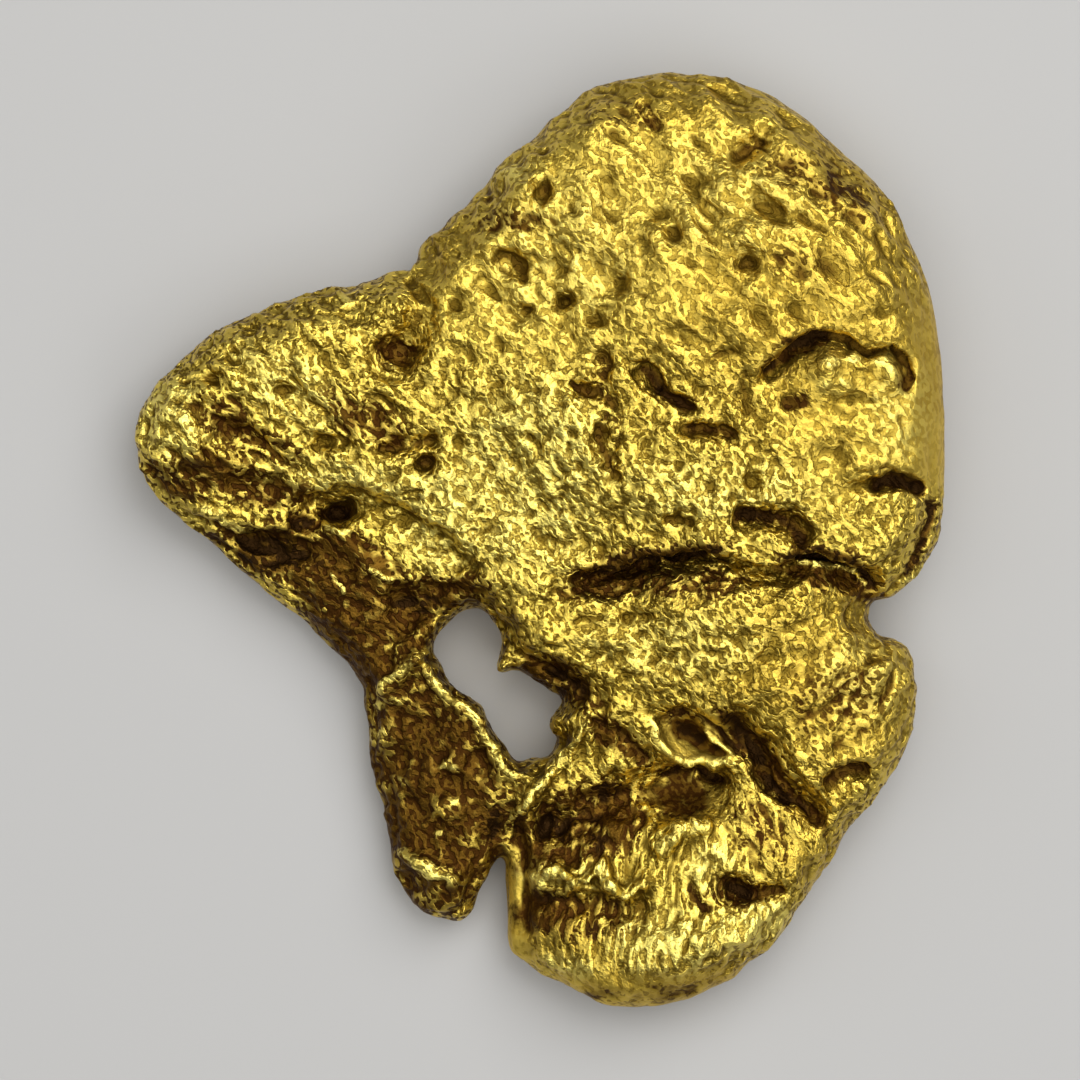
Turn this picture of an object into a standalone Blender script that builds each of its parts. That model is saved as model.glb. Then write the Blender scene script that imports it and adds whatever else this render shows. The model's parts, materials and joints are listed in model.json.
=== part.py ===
"""A gold nugget: one flattened, water-worn lump of native gold, lying on its back.

It has a domed upper lobe, an arm to the left, a thin leg and a thicker, folded block below. A hole
goes right through between leg and block, and a slit parts their lower ends.

Frame: metres, +Z up, origin under the middle of the nugget on the surface that it rests on.
The lengths below are in millimetres, X away from the arm and Y from the block to the lobe.
"""

import math

import bmesh
import bpy
import numpy as np
from mathutils import Matrix, Vector, kdtree, noise

MM = 0.001

# Build quality
SLAB_HALF = 1.0  # half thickness of the flat blank that the nugget is worked from
VOXEL = 0.11  # mesh size of the blank while it is worked
STEPS_PER_POINT = 8  # straight pieces between two points of an outline
RIM_ROUNDING = 3  # smoothing passes that take the corners off the rim
ROUNDING_FACTOR = 0.5  # how far each of them goes
WELD = 0.0001  # points of the blank closer than this are one
FLAT_WITHIN = 0.015  # of the ground, and it is on the ground
TRIANGLES = 9600  # of the finished piece

# The rim's cross-section
RIM_SHARE = 0.55  # share of the thickness that is in the round nose of the rim
NOSE_DEPTH = 0.30  # how far that nose reaches in, in half thicknesses
NOSE_ROUND = 0.98  # 1 would make the nose a half circle with upright ends
OUTER_ROLL = 1.05  # over this many half thicknesses from the outer edge the rim reaches full thickness
HOLE_ROLL = 0.55  # the same around the hole
RIM_CALM = 0.45  # width of the band along the rim where the relief fades
RIM_RELIEF = 0.35  # share of the relief that is left at the very edge
THINNEST = 0.35  # least thickness anywhere
END_FADE = 0.14  # share of a crease or ridge over which each of its ends runs out
STEP_SHOULDER = 1.5  # how square the shoulder of a step is; 1 is a sharp edge
LUMP_FLANK = 1.3  # how steep the sides of a lump or pit are; 1 is a bell

# The outer edge, clockwise from the notch between arm and lobe
LOBE_EDGE = [
    (-3.22, 6.78), (-3.10, 7.08), (-2.85, 7.55), (-2.38, 7.95), (-1.75, 8.52), (-1.35, 8.95),
    (-1.00, 9.40), (-0.50, 9.82), (-0.05, 10.15), (0.22, 10.52), (0.62, 10.78), (0.95, 11.08),
    (1.25, 11.32), (2.00, 11.55), (2.62, 11.68), (3.20, 11.75), (3.75, 11.65), (4.15, 11.70),
    (5.05, 11.45), (5.75, 11.15), (6.30, 10.80), (7.00, 10.20), (7.62, 9.62), (8.15, 9.18),
    (8.60, 8.68), (8.92, 8.20), (9.30, 7.40), (9.65, 6.65), (9.80, 6.00), (9.95, 5.15),
    (10.08, 3.88), (10.12, 2.50), (10.12, 1.50), (10.08, 0.62), (9.95, 0.00), (9.72, -0.45),
    (9.40, -0.92), (9.08, -1.20), (8.70, -1.45), (8.55, -1.48),
]
SIDE_NOTCH = [
    (8.42, -1.35), (8.28, -1.52), (8.20, -1.85), (8.32, -2.18), (8.55, -2.38), (8.82, -2.40),
]
BLOCK_EDGE = [
    (9.08, -2.55), (9.30, -2.88), (9.42, -3.38), (9.45, -3.80), (9.38, -4.50), (9.20, -5.12),
    (8.82, -5.88), (8.30, -6.58), (7.80, -7.15), (7.58, -7.45), (7.45, -7.80), (7.10, -8.30),
    (6.70, -8.92), (6.40, -9.30),
]
FOOT_EDGE = [
    (6.30, -9.55), (5.95, -10.05), (5.62, -10.32), (5.12, -10.70), (4.88, -10.98), (4.50, -11.15),
    (3.75, -11.50), (3.00, -11.68), (2.25, -11.70), (1.50, -11.60), (1.10, -11.38), (0.40, -11.05),
    (0.00, -10.90), (-0.40, -10.55), (-0.70, -10.38), (-0.80, -10.15),
]
SLIT_EDGE = [
    (-0.82, -9.50), (-0.85, -8.88), (-0.88, -8.38), (-0.88, -8.00), (-1.00, -7.92), (-1.12, -8.05),
    (-1.32, -8.45), (-1.58, -8.92), (-1.70, -9.30),
]
LEG_EDGE = [
    (-1.88, -9.52), (-2.10, -9.62), (-2.35, -9.52), (-2.75, -9.48), (-3.00, -9.32), (-3.30, -9.00),
    (-3.50, -8.65), (-3.68, -8.28), (-3.75, -7.88), (-3.85, -7.25), (-4.02, -6.58), (-4.18, -5.85),
    (-4.32, -5.25), (-4.35, -4.70), (-4.40, -4.35), (-4.48, -4.10),
]
WAIST_EDGE = [
    (-4.45, -3.80), (-4.58, -3.48), (-4.80, -3.15), (-5.38, -2.58), (-6.12, -1.88), (-6.80, -1.30),
    (-7.20, -1.02), (-7.50, -0.78), (-8.08, -0.25), (-8.68, 0.30), (-9.35, 0.82),
]
ARM_EDGE = [
    (-9.75, 1.30), (-9.98, 1.70), (-10.10, 2.20), (-10.12, 2.75), (-10.02, 3.25), (-9.82, 3.68),
    (-9.30, 4.22), (-8.62, 4.88), (-8.00, 5.35), (-7.00, 5.75), (-6.25, 6.08), (-5.30, 6.35),
    (-4.58, 6.40), (-3.95, 6.68), (-3.50, 6.80),
]
OUTER_EDGE = (
    LOBE_EDGE + SIDE_NOTCH + BLOCK_EDGE + FOOT_EDGE + SLIT_EDGE + LEG_EDGE + WAIST_EDGE + ARM_EDGE
)
HOLE_EDGE = [
    (-1.72, -1.68), (-1.40, -1.75), (-1.20, -1.98), (-1.00, -2.28), (-0.90, -2.50), (-0.98, -2.75),
    (-1.08, -3.05), (-1.10, -3.32), (-0.92, -3.35), (-0.70, -3.25), (-0.45, -3.28), (0.00, -3.62),
    (0.28, -3.80), (0.55, -3.90), (0.60, -4.05), (0.40, -4.25), (0.22, -4.55), (0.28, -4.78),
    (0.45, -4.85), (0.42, -5.10), (0.25, -5.38), (0.08, -5.50), (-0.12, -5.42), (-0.32, -5.45),
    (-0.50, -5.55), (-0.68, -5.52), (-0.80, -5.28), (-1.12, -4.82), (-1.30, -4.52), (-1.38, -4.25),
    (-1.70, -3.95), (-2.05, -3.78), (-2.28, -3.52), (-2.48, -3.10), (-2.65, -2.90), (-2.70, -2.72),
    (-2.58, -2.42), (-2.30, -2.08), (-2.02, -1.82),
]

# How high the face stands at places on it, before its folds and pits: x, y, height
FACE_SPOTS = {
    "top of the lobe": (3.75, 10.75, 3.5),
    "crown of the lobe": (4.5, 6.2, 4.5),
    "right of the lobe": (8.2, 3.4, 4.1),
    "upper left of the lobe": (0.6, 8.4, 3.8),
    "upper right of the lobe": (7.2, 8.6, 4.2),
    "left of the lobe": (-1.5, 5.2, 3.7),
    "middle": (2.0, 2.8, 4.1),
    "bottom of the lobe": (5.5, 1.9, 4.2),
    "knob by the side notch": (8.4, 0.5, 3.7),
    "root of the arm": (-3.0, 5.4, 3.1),
    "crown of the arm": (-6.2, 4.1, 3.3),
    "tip of the arm": (-8.9, 3.2, 3.1),
    "lower side of the arm": (-7.2, 1.9, 2.6),
    "lower edge of the arm": (-7.0, 0.0, 1.7),
    "left of the middle": (-3.4, 1.9, 3.3),
    "over the hole": (-2.2, 0.1, 3.2),
    "waist": (-4.8, -0.4, 2.4),
    "edge of the waist": (-5.2, -2.2, 1.4),
    "left of the hole": (-3.4, -2.2, 2.1),
    "right of the hole": (-0.1, -1.2, 3.2),
    "top of the leg": (-3.3, -3.9, 1.9),
    "left of the leg": (-4.4, -6.2, 0.9),
    "right of the leg": (-1.9, -6.2, 2.3),
    "bottom of the leg": (-2.7, -8.9, 1.6),
    "root of the block": (1.5, -2.2, 3.2),
    "top of the block": (4.2, -2.7, 3.7),
    "shoulder of the block": (6.6, -2.7, 3.6),
    "right of the block": (7.8, -4.4, 3.2),
    "under the hole": (1.5, -4.2, 2.7),
    "left of the block": (1.2, -6.0, 2.1),
    "middle of the block": (3.5, -6.5, 2.3),
    "wall of the slit": (0.2, -7.6, 2.1),
    "belly of the block": (2.8, -8.1, 2.8),
    "lower right of the block": (5.6, -7.6, 2.8),
    "foot": (3.0, -9.9, 2.6),
}
SPOT_REACH = 1.45  # how far each of them is felt

# Steps in the face, where one fold lies over another. Walking along the points, the high side is on
# the left: rise and its reach, then drop on the right and its reach.
STEPS = {
    "lobe over block": (0.15, 0.9, 1.00, 0.50, [
        (0.45, -1.15), (0.95, -0.90), (1.58, -0.68), (2.40, -0.40), (3.20, -0.25), (4.02, -0.18),
        (4.62, -0.22), (5.30, -0.50), (5.92, -0.58), (6.48, -0.30), (7.00, -0.25), (7.55, -0.40),
        (8.10, -0.80), (8.42, -1.35), (8.60, -1.70),
    ]),
    "arched hollow": (0.12, 0.6, 0.55, 0.42, [
        (5.22, 3.70), (5.38, 4.08), (5.65, 4.42), (5.98, 4.80), (6.28, 5.12), (6.72, 5.32),
        (7.15, 5.25), (7.55, 5.12), (7.85, 4.92), (8.15, 4.76), (8.40, 4.88), (8.70, 4.92),
        (8.95, 4.78), (9.20, 4.52), (9.22, 4.00), (9.05, 3.55),
    ]),
    "hollow at the right of the block": (0.08, 0.4, 0.50, 0.45, [
        (6.95, -6.30), (7.12, -5.95), (7.50, -5.62), (8.00, -5.55), (8.25, -5.88), (8.30, -6.10),
    ]),
    "shelf over the edge of the arm": (0.10, 0.5, 0.30, 0.35, [
        (-9.60, 1.20), (-8.88, 0.75), (-8.12, 0.62), (-7.70, 0.38), (-7.12, 0.18), (-6.50, 0.10),
        (-5.60, -0.10),
    ]),
    "end of the arm": (0.08, 0.5, 0.35, 0.55, [
        (-9.90, 1.95), (-9.30, 1.75), (-8.60, 1.90), (-8.00, 1.70), (-7.30, 1.60), (-6.30, 1.55),
    ]),
    "left wall of the block": (0.10, 0.6, 0.55, 0.55, [
        (-0.55, -6.35), (-0.45, -7.00), (-0.30, -8.00), (-0.28, -9.00), (-0.20, -10.00),
    ]),
    "shoulder over the waist": (0.12, 0.8, 0.55, 1.10, [
        (-6.60, 0.95), (-5.60, 1.25), (-4.50, 1.30), (-3.40, 0.85), (-2.40, 0.25), (-1.60, -0.60),
        (-1.40, -1.10),
    ]),
    "over the hole": (0.06, 0.6, 0.35, 0.60, [
        (-3.90, -1.00), (-3.00, -1.15), (-2.20, -1.05), (-1.40, -1.15), (-0.90, -1.55),
    ]),
}

# Creases (depth below zero) and ridges: half width, height, points
LINES = {
    "gash at the bottom of the lobe": (0.20, -0.55, [
        (4.70, 0.50), (4.82, 0.52), (5.38, 0.60), (6.20, 0.58), (6.52, 0.20), (6.62, -0.10),
    ]),
    "short crease beside it": (0.13, -0.22, [(3.05, 0.46), (3.40, 0.56), (3.72, 0.42)]),
    "gash at the right": (0.16, -0.50, [(8.00, 1.36), (8.20, 1.38), (9.00, 1.45), (9.75, 1.25)]),
    "groove round the knob": (0.16, -0.50, [
        (9.55, 1.15), (9.76, 0.85), (9.68, 0.50), (9.58, 0.10), (9.34, -0.25), (9.00, -0.50),
        (8.50, -0.58),
    ]),
    "long gash in the lobe": (0.20, -0.32, [(2.20, 4.25), (2.60, 4.05), (3.20, 3.60), (3.90, 3.15)]),
    "small gash in the lobe": (0.18, -0.24, [(0.75, 4.00), (1.00, 3.80), (1.35, 3.50)]),
    "lower gash in the lobe": (0.18, -0.26, [(3.40, 2.80), (4.00, 2.72), (5.00, 2.52)]),
    "upright crease": (0.20, -0.26, [
        (1.40, 5.00), (1.58, 4.25), (1.42, 3.70), (1.80, 3.40), (1.42, 2.45), (1.75, 1.75),
        (2.20, 1.30),
    ]),
    "groove up to the notch": (0.30, -0.35, [(-3.25, 4.90), (-2.95, 5.80), (-3.20, 6.90)]),
    "crease at the root of the arm": (0.18, -0.30, [(-4.20, 2.25), (-3.20, 2.40), (-2.40, 2.60)]),
    "groove on the arm": (0.18, -0.16, [(-9.20, 3.90), (-8.50, 3.98), (-7.80, 3.98)]),
    "upper groove on the arm": (0.14, -0.16, [(-6.70, 5.62), (-6.40, 5.90), (-6.10, 6.10)]),
    "ledge at the top of the lobe": (0.22, -0.24, [(4.70, 9.40), (5.30, 9.80), (5.75, 10.30)]),
    "slanting groove": (0.18, -0.16, [(3.90, 8.00), (4.30, 7.40), (4.70, 6.90)]),
    "second slanting groove": (0.16, -0.14, [(4.80, 8.50), (6.40, 8.00), (7.30, 7.60)]),
    "third slanting groove": (0.16, -0.14, [(6.50, 8.60), (7.20, 8.30), (8.00, 7.90)]),
    "lip left of the hole": (0.13, 0.34, [
        (-3.05, -2.75), (-2.90, -3.05), (-2.45, -3.72), (-2.22, -4.02), (-1.62, -4.38),
        (-1.30, -4.95), (-1.08, -5.45), (-0.88, -5.75), (-0.60, -5.90), (-0.15, -5.95),
        (0.10, -5.90),
    ]),
    "ridge from the slit to the hole": (0.17, 0.34, [
        (-0.78, -7.20), (-0.50, -6.75), (-0.25, -6.38), (0.18, -5.88), (0.70, -5.25),
        (1.12, -4.55), (1.40, -3.90),
    ]),
    "crest at the top of the leg": (0.22, 0.24, [(-2.60, -2.50), (-3.30, -3.10), (-4.20, -4.05)]),
    "ridges at the waist": (0.18, 0.15, [(-5.40, -0.80), (-4.80, -1.30), (-4.30, -0.70), (-3.60, -1.10)]),
    "ridge like a V": (0.14, 0.26, [
        (2.50, -4.20), (2.62, -4.50), (2.80, -4.88), (3.12, -5.30), (3.50, -5.52), (4.38, -5.55),
        (5.00, -5.50),
    ]),
    "ridge in the eye": (0.11, 0.22, [(3.90, -4.55), (4.38, -5.00), (4.85, -5.40)]),
    "valley over the foot": (0.50, -0.60, [
        (-0.50, -7.40), (0.80, -6.95), (2.00, -6.45), (3.20, -6.10), (4.30, -6.05), (5.00, -6.40),
    ]),
    "trench": (0.34, -0.62, [
        (4.55, -4.30), (4.75, -4.50), (5.50, -5.25), (5.75, -6.00), (6.50, -6.50), (7.15, -7.25),
    ]),
    "crease over the concave": (0.16, -0.34, [(3.00, -5.90), (3.50, -5.77), (4.00, -5.77), (4.70, -6.10)]),
    "ridge under the concave": (0.20, 0.28, [(2.80, -7.80), (3.07, -7.62), (3.55, -7.30), (4.35, -6.98)]),
    "crest of the foot": (0.20, 0.32, [
        (-0.30, -8.12), (0.08, -8.45), (0.50, -8.20), (0.80, -8.45), (1.12, -8.40), (1.50, -8.10),
        (1.70, -8.55), (2.10, -8.75), (2.70, -8.45), (3.20, -8.25),
    ]),
    "valley under that crest": (0.40, -0.30, [(-0.60, -8.90), (0.60, -9.08), (1.80, -9.15), (3.00, -9.00)]),
    "crease of the foot": (0.18, -0.25, [(4.80, -8.70), (5.60, -8.80), (6.50, -8.72)]),
    "band across the leg": (0.22, 0.20, [(-3.80, -8.00), (-2.75, -8.20), (-1.90, -8.70)]),
    "crease below the fold": (0.26, -0.14, [(0.70, -1.10), (1.40, -1.30), (2.10, -1.20), (2.80, -0.90)]),
    "thin crease below the fold": (0.10, -0.15, [(1.90, -2.00), (2.40, -1.95), (2.95, -1.75)]),
}

# Lumps and pits: x, y, half width, half height, turn in degrees, height (pits below zero)
LUMPS = {
    "knob at the upper left": (-0.52, 9.05, 0.62, 0.55, 0, 0.42),
    "pit left of the knob": (-1.28, 8.60, 0.18, 0.28, 0, -0.28),
    "pit right of the knob": (0.08, 8.66, 0.20, 0.32, -20, -0.32),
    "dome at the top": (5.00, 10.35, 0.70, 0.50, 0, 0.16),
    "smooth hollow at the top": (6.20, 9.20, 1.60, 0.50, -20, -0.12),
    "oval pit": (-0.72, 6.86, 0.42, 0.30, -25, -0.34),
    "pit below it": (-0.30, 5.72, 0.22, 0.18, 0, -0.22),
    "pit left of that": (-2.10, 5.80, 0.22, 0.22, 0, -0.20),
    "pit in the lobe": (0.60, 5.90, 0.28, 0.20, 20, -0.22),
    "second pit in the lobe": (1.30, 5.42, 0.22, 0.20, 0, -0.20),
    "dimple in the lobe": (3.28, 7.50, 0.18, 0.34, 0, -0.18),
    "ring pit in the lobe": (5.10, 6.80, 0.42, 0.32, 0, -0.26),
    "oval bump": (8.45, 6.12, 0.58, 0.46, 20, 0.20),
    "pit at the top right": (6.18, 10.35, 0.26, 0.15, -15, -0.22),
    "hollow above the lobe's middle": (3.90, 8.90, 0.50, 0.30, 0, -0.14),
    "knob in the arched hollow": (6.95, 4.30, 0.30, 0.24, 0, 0.28),
    "second knob in the arched hollow": (7.90, 4.30, 0.40, 0.26, 10, 0.30),
    "third knob in the arched hollow": (8.70, 4.05, 0.30, 0.30, 0, 0.22),
    "floor of the arched hollow": (6.50, 4.75, 0.38, 0.24, 25, -0.20),
    "faint hollow": (4.60, 4.50, 0.55, 0.25, 0, -0.12),
    "second faint hollow": (6.20, 3.40, 0.40, 0.22, 0, -0.12),
    "third faint hollow": (5.30, 1.45, 0.40, 0.22, 0, -0.12),
    "fourth faint hollow": (7.70, 1.30, 0.45, 0.24, 0, -0.14),
    "hollow at the root of the arm": (-3.45, 4.75, 0.62, 0.46, 20, -0.55),
    "knob on the arm": (-4.88, 6.15, 0.26, 0.20, 0, 0.18),
    "hollow on the arm": (-7.90, 3.05, 0.70, 0.45, -40, -0.18),
    "second hollow on the arm": (-7.00, 2.20, 0.90, 0.40, -20, -0.22),
    "third hollow on the arm": (-5.30, 2.45, 0.50, 0.28, 0, -0.24),
    "fourth hollow on the arm": (-4.15, 3.20, 0.80, 0.36, -30, -0.22),
    "dark pit": (-2.85, 1.95, 0.26, 0.20, 0, -0.30),
    "deep pit": (-5.05, 0.75, 0.48, 0.28, 10, -0.62),
    "brim of the deep pit": (-4.95, 0.32, 0.60, 0.16, 10, 0.18),
    "long hollow of the waist": (-7.00, -0.10, 1.10, 0.34, -18, -0.30),
    "dent over the hole": (-3.20, -1.75, 0.70, 0.45, 0, -0.30),
    "terrace at the hole": (0.20, -3.35, 1.15, 0.42, -28, -1.05),
    "shoulder over the terrace": (-0.10, -2.40, 0.70, 0.35, -20, 0.18),
    "lump on the leg": (-2.12, -5.60, 0.34, 0.30, 0, 0.14),
    "second lump on the leg": (-4.00, -5.00, 0.34, 0.30, 0, 0.12),
    "third lump on the leg": (-2.25, -6.60, 0.40, 0.34, 0, 0.14),
    "fourth lump on the leg": (-3.50, -5.90, 0.36, 0.30, 0, 0.12),
    "dark end of the slit": (-1.20, -7.50, 0.35, 0.40, 0, -0.30),
    "eye": (3.85, -4.90, 0.95, 0.42, -28, -0.62),
    "concave": (3.62, -6.50, 0.90, 0.50, 8, -0.42),
    "pit in the foot": (4.80, -8.68, 0.40, 0.34, 0, -0.36),
    "bulge of the foot": (4.20, -10.10, 1.90, 0.60, 8, 0.34),
    "shoulder by the trench": (6.60, -5.40, 0.60, 0.45, -40, 0.16),
}

# The lumpy surface in between: size of the lumps, their height, and the seed of their places
COARSE_LUMPS = (1.50, 0.07, 1)
FINE_LUMPS = (0.62, 0.05, 2)

# The underside, worn to a flat where it bears: x, y, radius
BEARING_SPOTS = {
    "middle": (2.10, 1.30, 2.60),
    "lobe": (5.20, 5.40, 1.90),
    "arm": (-6.40, 3.20, 1.30),
    "block": (3.80, -6.60, 1.80),
}
UNDERSIDE_LUMPS = (2.40, 0.34, 5)
UNDERSIDE_SMALL_LUMPS = (0.90, 0.12, 6)
UNDERSIDE_LIFT = 0.26  # of the underside between the flats
BEARING_PRESS = 1.3  # how hard the flats are pressed into the lumps
SEED_OFFSET = Vector((3.7, 11.3, 5.9))  # keeps the lumps clear of the noise's own grid
SEED_STEP = 7.1  # between the layers of noise that two seeds read
NOISE_GAIN = 1.6  # brings the noise to about -1 to 1

GOLD = (0.83, 0.56, 0.11, 1.0)
GOLD_ROUGHNESS = 0.32


def outline_curve(edges):
    """A flat 2D curve through each edge's points, filled on both sides and extruded to the blank."""
    data = bpy.data.curves.new("outline", "CURVE")
    data.dimensions = "2D"
    data.fill_mode = "BOTH"
    data.extrude = SLAB_HALF
    data.resolution_u = STEPS_PER_POINT
    for points in edges:
        spline = data.splines.new("BEZIER")
        spline.bezier_points.add(len(points) - 1)
        for knot, (x, y) in zip(spline.bezier_points, points):
            knot.co = (x, y, 0)
            knot.handle_left_type = "AUTO"
            knot.handle_right_type = "AUTO"
        spline.use_cyclic_u = True
    curve = bpy.data.objects.new("outline", data)
    bpy.context.scene.collection.objects.link(curve)
    return curve


def evaluated_mesh(obj):
    """The object's mesh with its modifiers worked in."""
    bpy.context.view_layer.update()
    graph = bpy.context.evaluated_depsgraph_get()
    return bpy.data.meshes.new_from_object(obj.evaluated_get(graph), depsgraph=graph)


def points_of(mesh):
    """The mesh's points as rows of x, y, z."""
    flat = np.empty(len(mesh.vertices) * 3)
    mesh.vertices.foreach_get("co", flat)
    return flat.reshape(-1, 3)


def blank_piece(edges):
    """The outline as a closed slab in small even faces, as a mesh object."""
    curve = outline_curve(edges)
    mesh = evaluated_mesh(curve)
    bpy.data.objects.remove(curve)
    shell = bmesh.new()
    shell.from_mesh(mesh)
    bmesh.ops.remove_doubles(shell, verts=shell.verts, dist=WELD)
    bmesh.ops.recalc_face_normals(shell, faces=shell.faces)
    shell.to_mesh(mesh)
    shell.free()
    slab = bpy.data.objects.new("slab", mesh)
    bpy.context.scene.collection.objects.link(slab)
    remesh = slab.modifiers.new("even faces", "REMESH")
    remesh.mode = "VOXEL"
    remesh.voxel_size = VOXEL
    fine = evaluated_mesh(slab)
    bpy.data.objects.remove(slab)
    return fine


def smooth_loop(points):
    """Closely spaced points on a closed curve through the given ones."""
    knots = np.array(points)
    before = np.roll(knots, 1, axis=0)
    after = np.roll(knots, -1, axis=0)
    later = np.roll(knots, -2, axis=0)
    rows = []
    for t in np.arange(STEPS_PER_POINT) / STEPS_PER_POINT:
        slope = (after - before) * t
        bend = (2 * before - 5 * knots + 4 * after - later) * t**2
        twist = (3 * knots - before - 3 * after + later) * t**3
        rows.append((2 * knots + slope + bend + twist) / 2)
    return np.stack(rows, axis=1).reshape(-1, 2)


def distance_to_loop(xy, loop):
    """Each point's distance to a closed loop of closely spaced points, and the loop's right there."""
    ends = np.roll(loop, -1, axis=0)
    tree = kdtree.KDTree(len(loop))
    for index, (x, y) in enumerate((loop + ends) / 2):
        tree.insert((x, y, 0), index)
    tree.balance()
    nearest = np.array([tree.find((x, y, 0))[1] for x, y in xy])
    start = loop[nearest]
    run = ends[nearest] - start
    along = np.einsum("ij,ij->i", xy - start, run) / np.maximum(np.einsum("ij,ij->i", run, run), 1e-9)
    foot = start + run * np.clip(along, 0, 1)[:, None]
    right = np.stack([run[:, 1], -run[:, 0]], axis=1) / np.hypot(*run.T)[:, None]
    return np.hypot(*(xy - foot).T), right


def smoothstep(value):
    """0 to 1 along an S."""
    value = np.clip(value, 0, 1)
    return value * value * (3 - 2 * value)


def along_path(xy, points):
    """Each point's distance to an open path, its place along it from 0 to 1, and +1 on its left."""
    path = np.array(points)
    runs = np.diff(path, axis=0)
    lengths = np.hypot(*runs.T)
    starts = np.concatenate([[0], np.cumsum(lengths)])
    best = np.full(len(xy), np.inf)
    place = np.zeros(len(xy))
    side = np.ones(len(xy))
    for start, run, length, before in zip(path, runs, lengths, starts):
        offset = xy - start
        share = np.clip(offset @ run / length**2, 0, 1)
        gap = np.hypot(*(offset - share[:, None] * run).T)
        nearer = gap < best
        best[nearer] = gap[nearer]
        place[nearer] = (before + share[nearer] * length) / starts[-1]
        cross = run[0] * offset[:, 1] - run[1] * offset[:, 0]
        side[nearer] = np.sign(cross[nearer])
    return best, place, side


def fade_at_ends(place):
    """1 along a path, falling to 0 at both of its ends."""
    return smoothstep(np.minimum(place, 1 - place) / END_FADE)


def soft_lumps(xy, size, height, seed):
    """Soft lumps this many millimetres across and about this high."""
    layer = Vector((0, 0, SEED_STEP * seed)) + SEED_OFFSET
    field = np.array([noise.noise(Vector((x / size, y / size, 0)) + layer) for x, y in xy])
    return field * NOISE_GAIN * height


def spot_heights(xy):
    """The face's main form: a smooth sheet near all of the named heights."""
    total = np.zeros(len(xy))
    weights = np.zeros(len(xy))
    for x, y, height in FACE_SPOTS.values():
        weight = np.exp(-((xy[:, 0] - x) ** 2 + (xy[:, 1] - y) ** 2) / (2 * SPOT_REACH**2))
        total += weight * height
        weights += weight
    return total / weights


def steps_height(xy):
    """Where one fold lies over another: up on the left of the line, down on its right."""
    height = np.zeros(len(xy))
    for rise, rise_reach, drop, drop_reach, points in STEPS.values():
        gap, place, side = along_path(xy, points)
        up = rise * np.exp(-gap / rise_reach)
        down = -drop * np.exp(-((gap / drop_reach) ** STEP_SHOULDER))
        height += np.where(side > 0, up, down) * fade_at_ends(place)
    return height


def lines_height(xy):
    """Creases and ridges."""
    height = np.zeros(len(xy))
    for half_width, top, points in LINES.values():
        gap, place, _ = along_path(xy, points)
        height += top * np.exp(-((gap / half_width) ** 2)) * fade_at_ends(place)
    return height


def lumps_height(xy):
    """Lumps and pits."""
    height = np.zeros(len(xy))
    for x, y, half_width, half_height, degrees, top in LUMPS.values():
        turn = math.radians(degrees)
        east = (xy[:, 0] - x) * math.cos(turn) + (xy[:, 1] - y) * math.sin(turn)
        north = (xy[:, 1] - y) * math.cos(turn) - (xy[:, 0] - x) * math.sin(turn)
        height += top * np.exp(-(((east / half_width) ** 2 + (north / half_height) ** 2) ** LUMP_FLANK))
    return height


def underside_lift(xy):
    """How far the underside stands off the ground: 0 on the worn flats, lumpy between them."""
    lift = UNDERSIDE_LIFT + soft_lumps(xy, *UNDERSIDE_LUMPS) + soft_lumps(xy, *UNDERSIDE_SMALL_LUMPS)
    for x, y, radius in BEARING_SPOTS.values():
        gap = np.hypot(xy[:, 0] - x, xy[:, 1] - y) / radius
        lift -= BEARING_PRESS * (1 - smoothstep(gap))
    return np.maximum(lift, 0)


def rolled_rim(distance, roll):
    """The rim's cross-section over the nose: the share of the full thickness at this distance."""
    inwards = np.clip(distance / roll, 0, 1)
    return RIM_SHARE + (1 - RIM_SHARE) * np.sqrt(1 - (1 - inwards) ** 2)


def work_blank(mesh):
    """Moves the blank's points to the nugget's face, underside and rolled rim."""
    points = points_of(mesh)
    xy = points[:, :2].copy()
    level = np.clip(points[:, 2] / SLAB_HALF, -1, 1)
    to_outer, inwards = distance_to_loop(xy, smooth_loop(OUTER_EDGE))
    to_hole, into_hole = distance_to_loop(xy, smooth_loop(HOLE_EDGE))
    half = spot_heights(xy) / 2
    nose = NOSE_DEPTH * half * (1 - np.sqrt(1 - NOSE_ROUND * level**2))
    outer_push = nose * np.clip(1 - to_outer / (OUTER_ROLL * half), 0, 1)
    hole_push = nose * HOLE_ROLL * np.clip(1 - to_hole / (HOLE_ROLL * half), 0, 1)
    points[:, :2] += inwards * outer_push[:, None] - into_hole * hole_push[:, None]
    full = rolled_rim(to_outer, OUTER_ROLL * half) * rolled_rim(to_hole, HOLE_ROLL * half)
    xy = points[:, :2]
    lumpy = soft_lumps(xy, *COARSE_LUMPS) + soft_lumps(xy, *FINE_LUMPS)
    relief = steps_height(xy) + lines_height(xy) + lumps_height(xy) + lumpy
    at_rim = smoothstep(np.minimum(to_outer, to_hole) / RIM_CALM)
    face = half * (1 + full) + relief * (RIM_RELIEF + (1 - RIM_RELIEF) * at_rim)
    under = half * (1 - full) + underside_lift(xy) * at_rim
    face = np.maximum(face, under + THINNEST)
    points[:, 2] = under + (face - under) * (level + 1) / 2
    mesh.vertices.foreach_set("co", points.ravel())
    mesh.update()


def smooth_mesh(mesh, passes):
    """Takes the corners off with a Smooth modifier."""
    obj = bpy.data.objects.new("smoothing", mesh)
    bpy.context.scene.collection.objects.link(obj)
    smooth = obj.modifiers.new("smooth", "SMOOTH")
    smooth.factor = ROUNDING_FACTOR
    smooth.iterations = passes
    result = evaluated_mesh(obj)
    bpy.data.objects.remove(obj)
    return result


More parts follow.
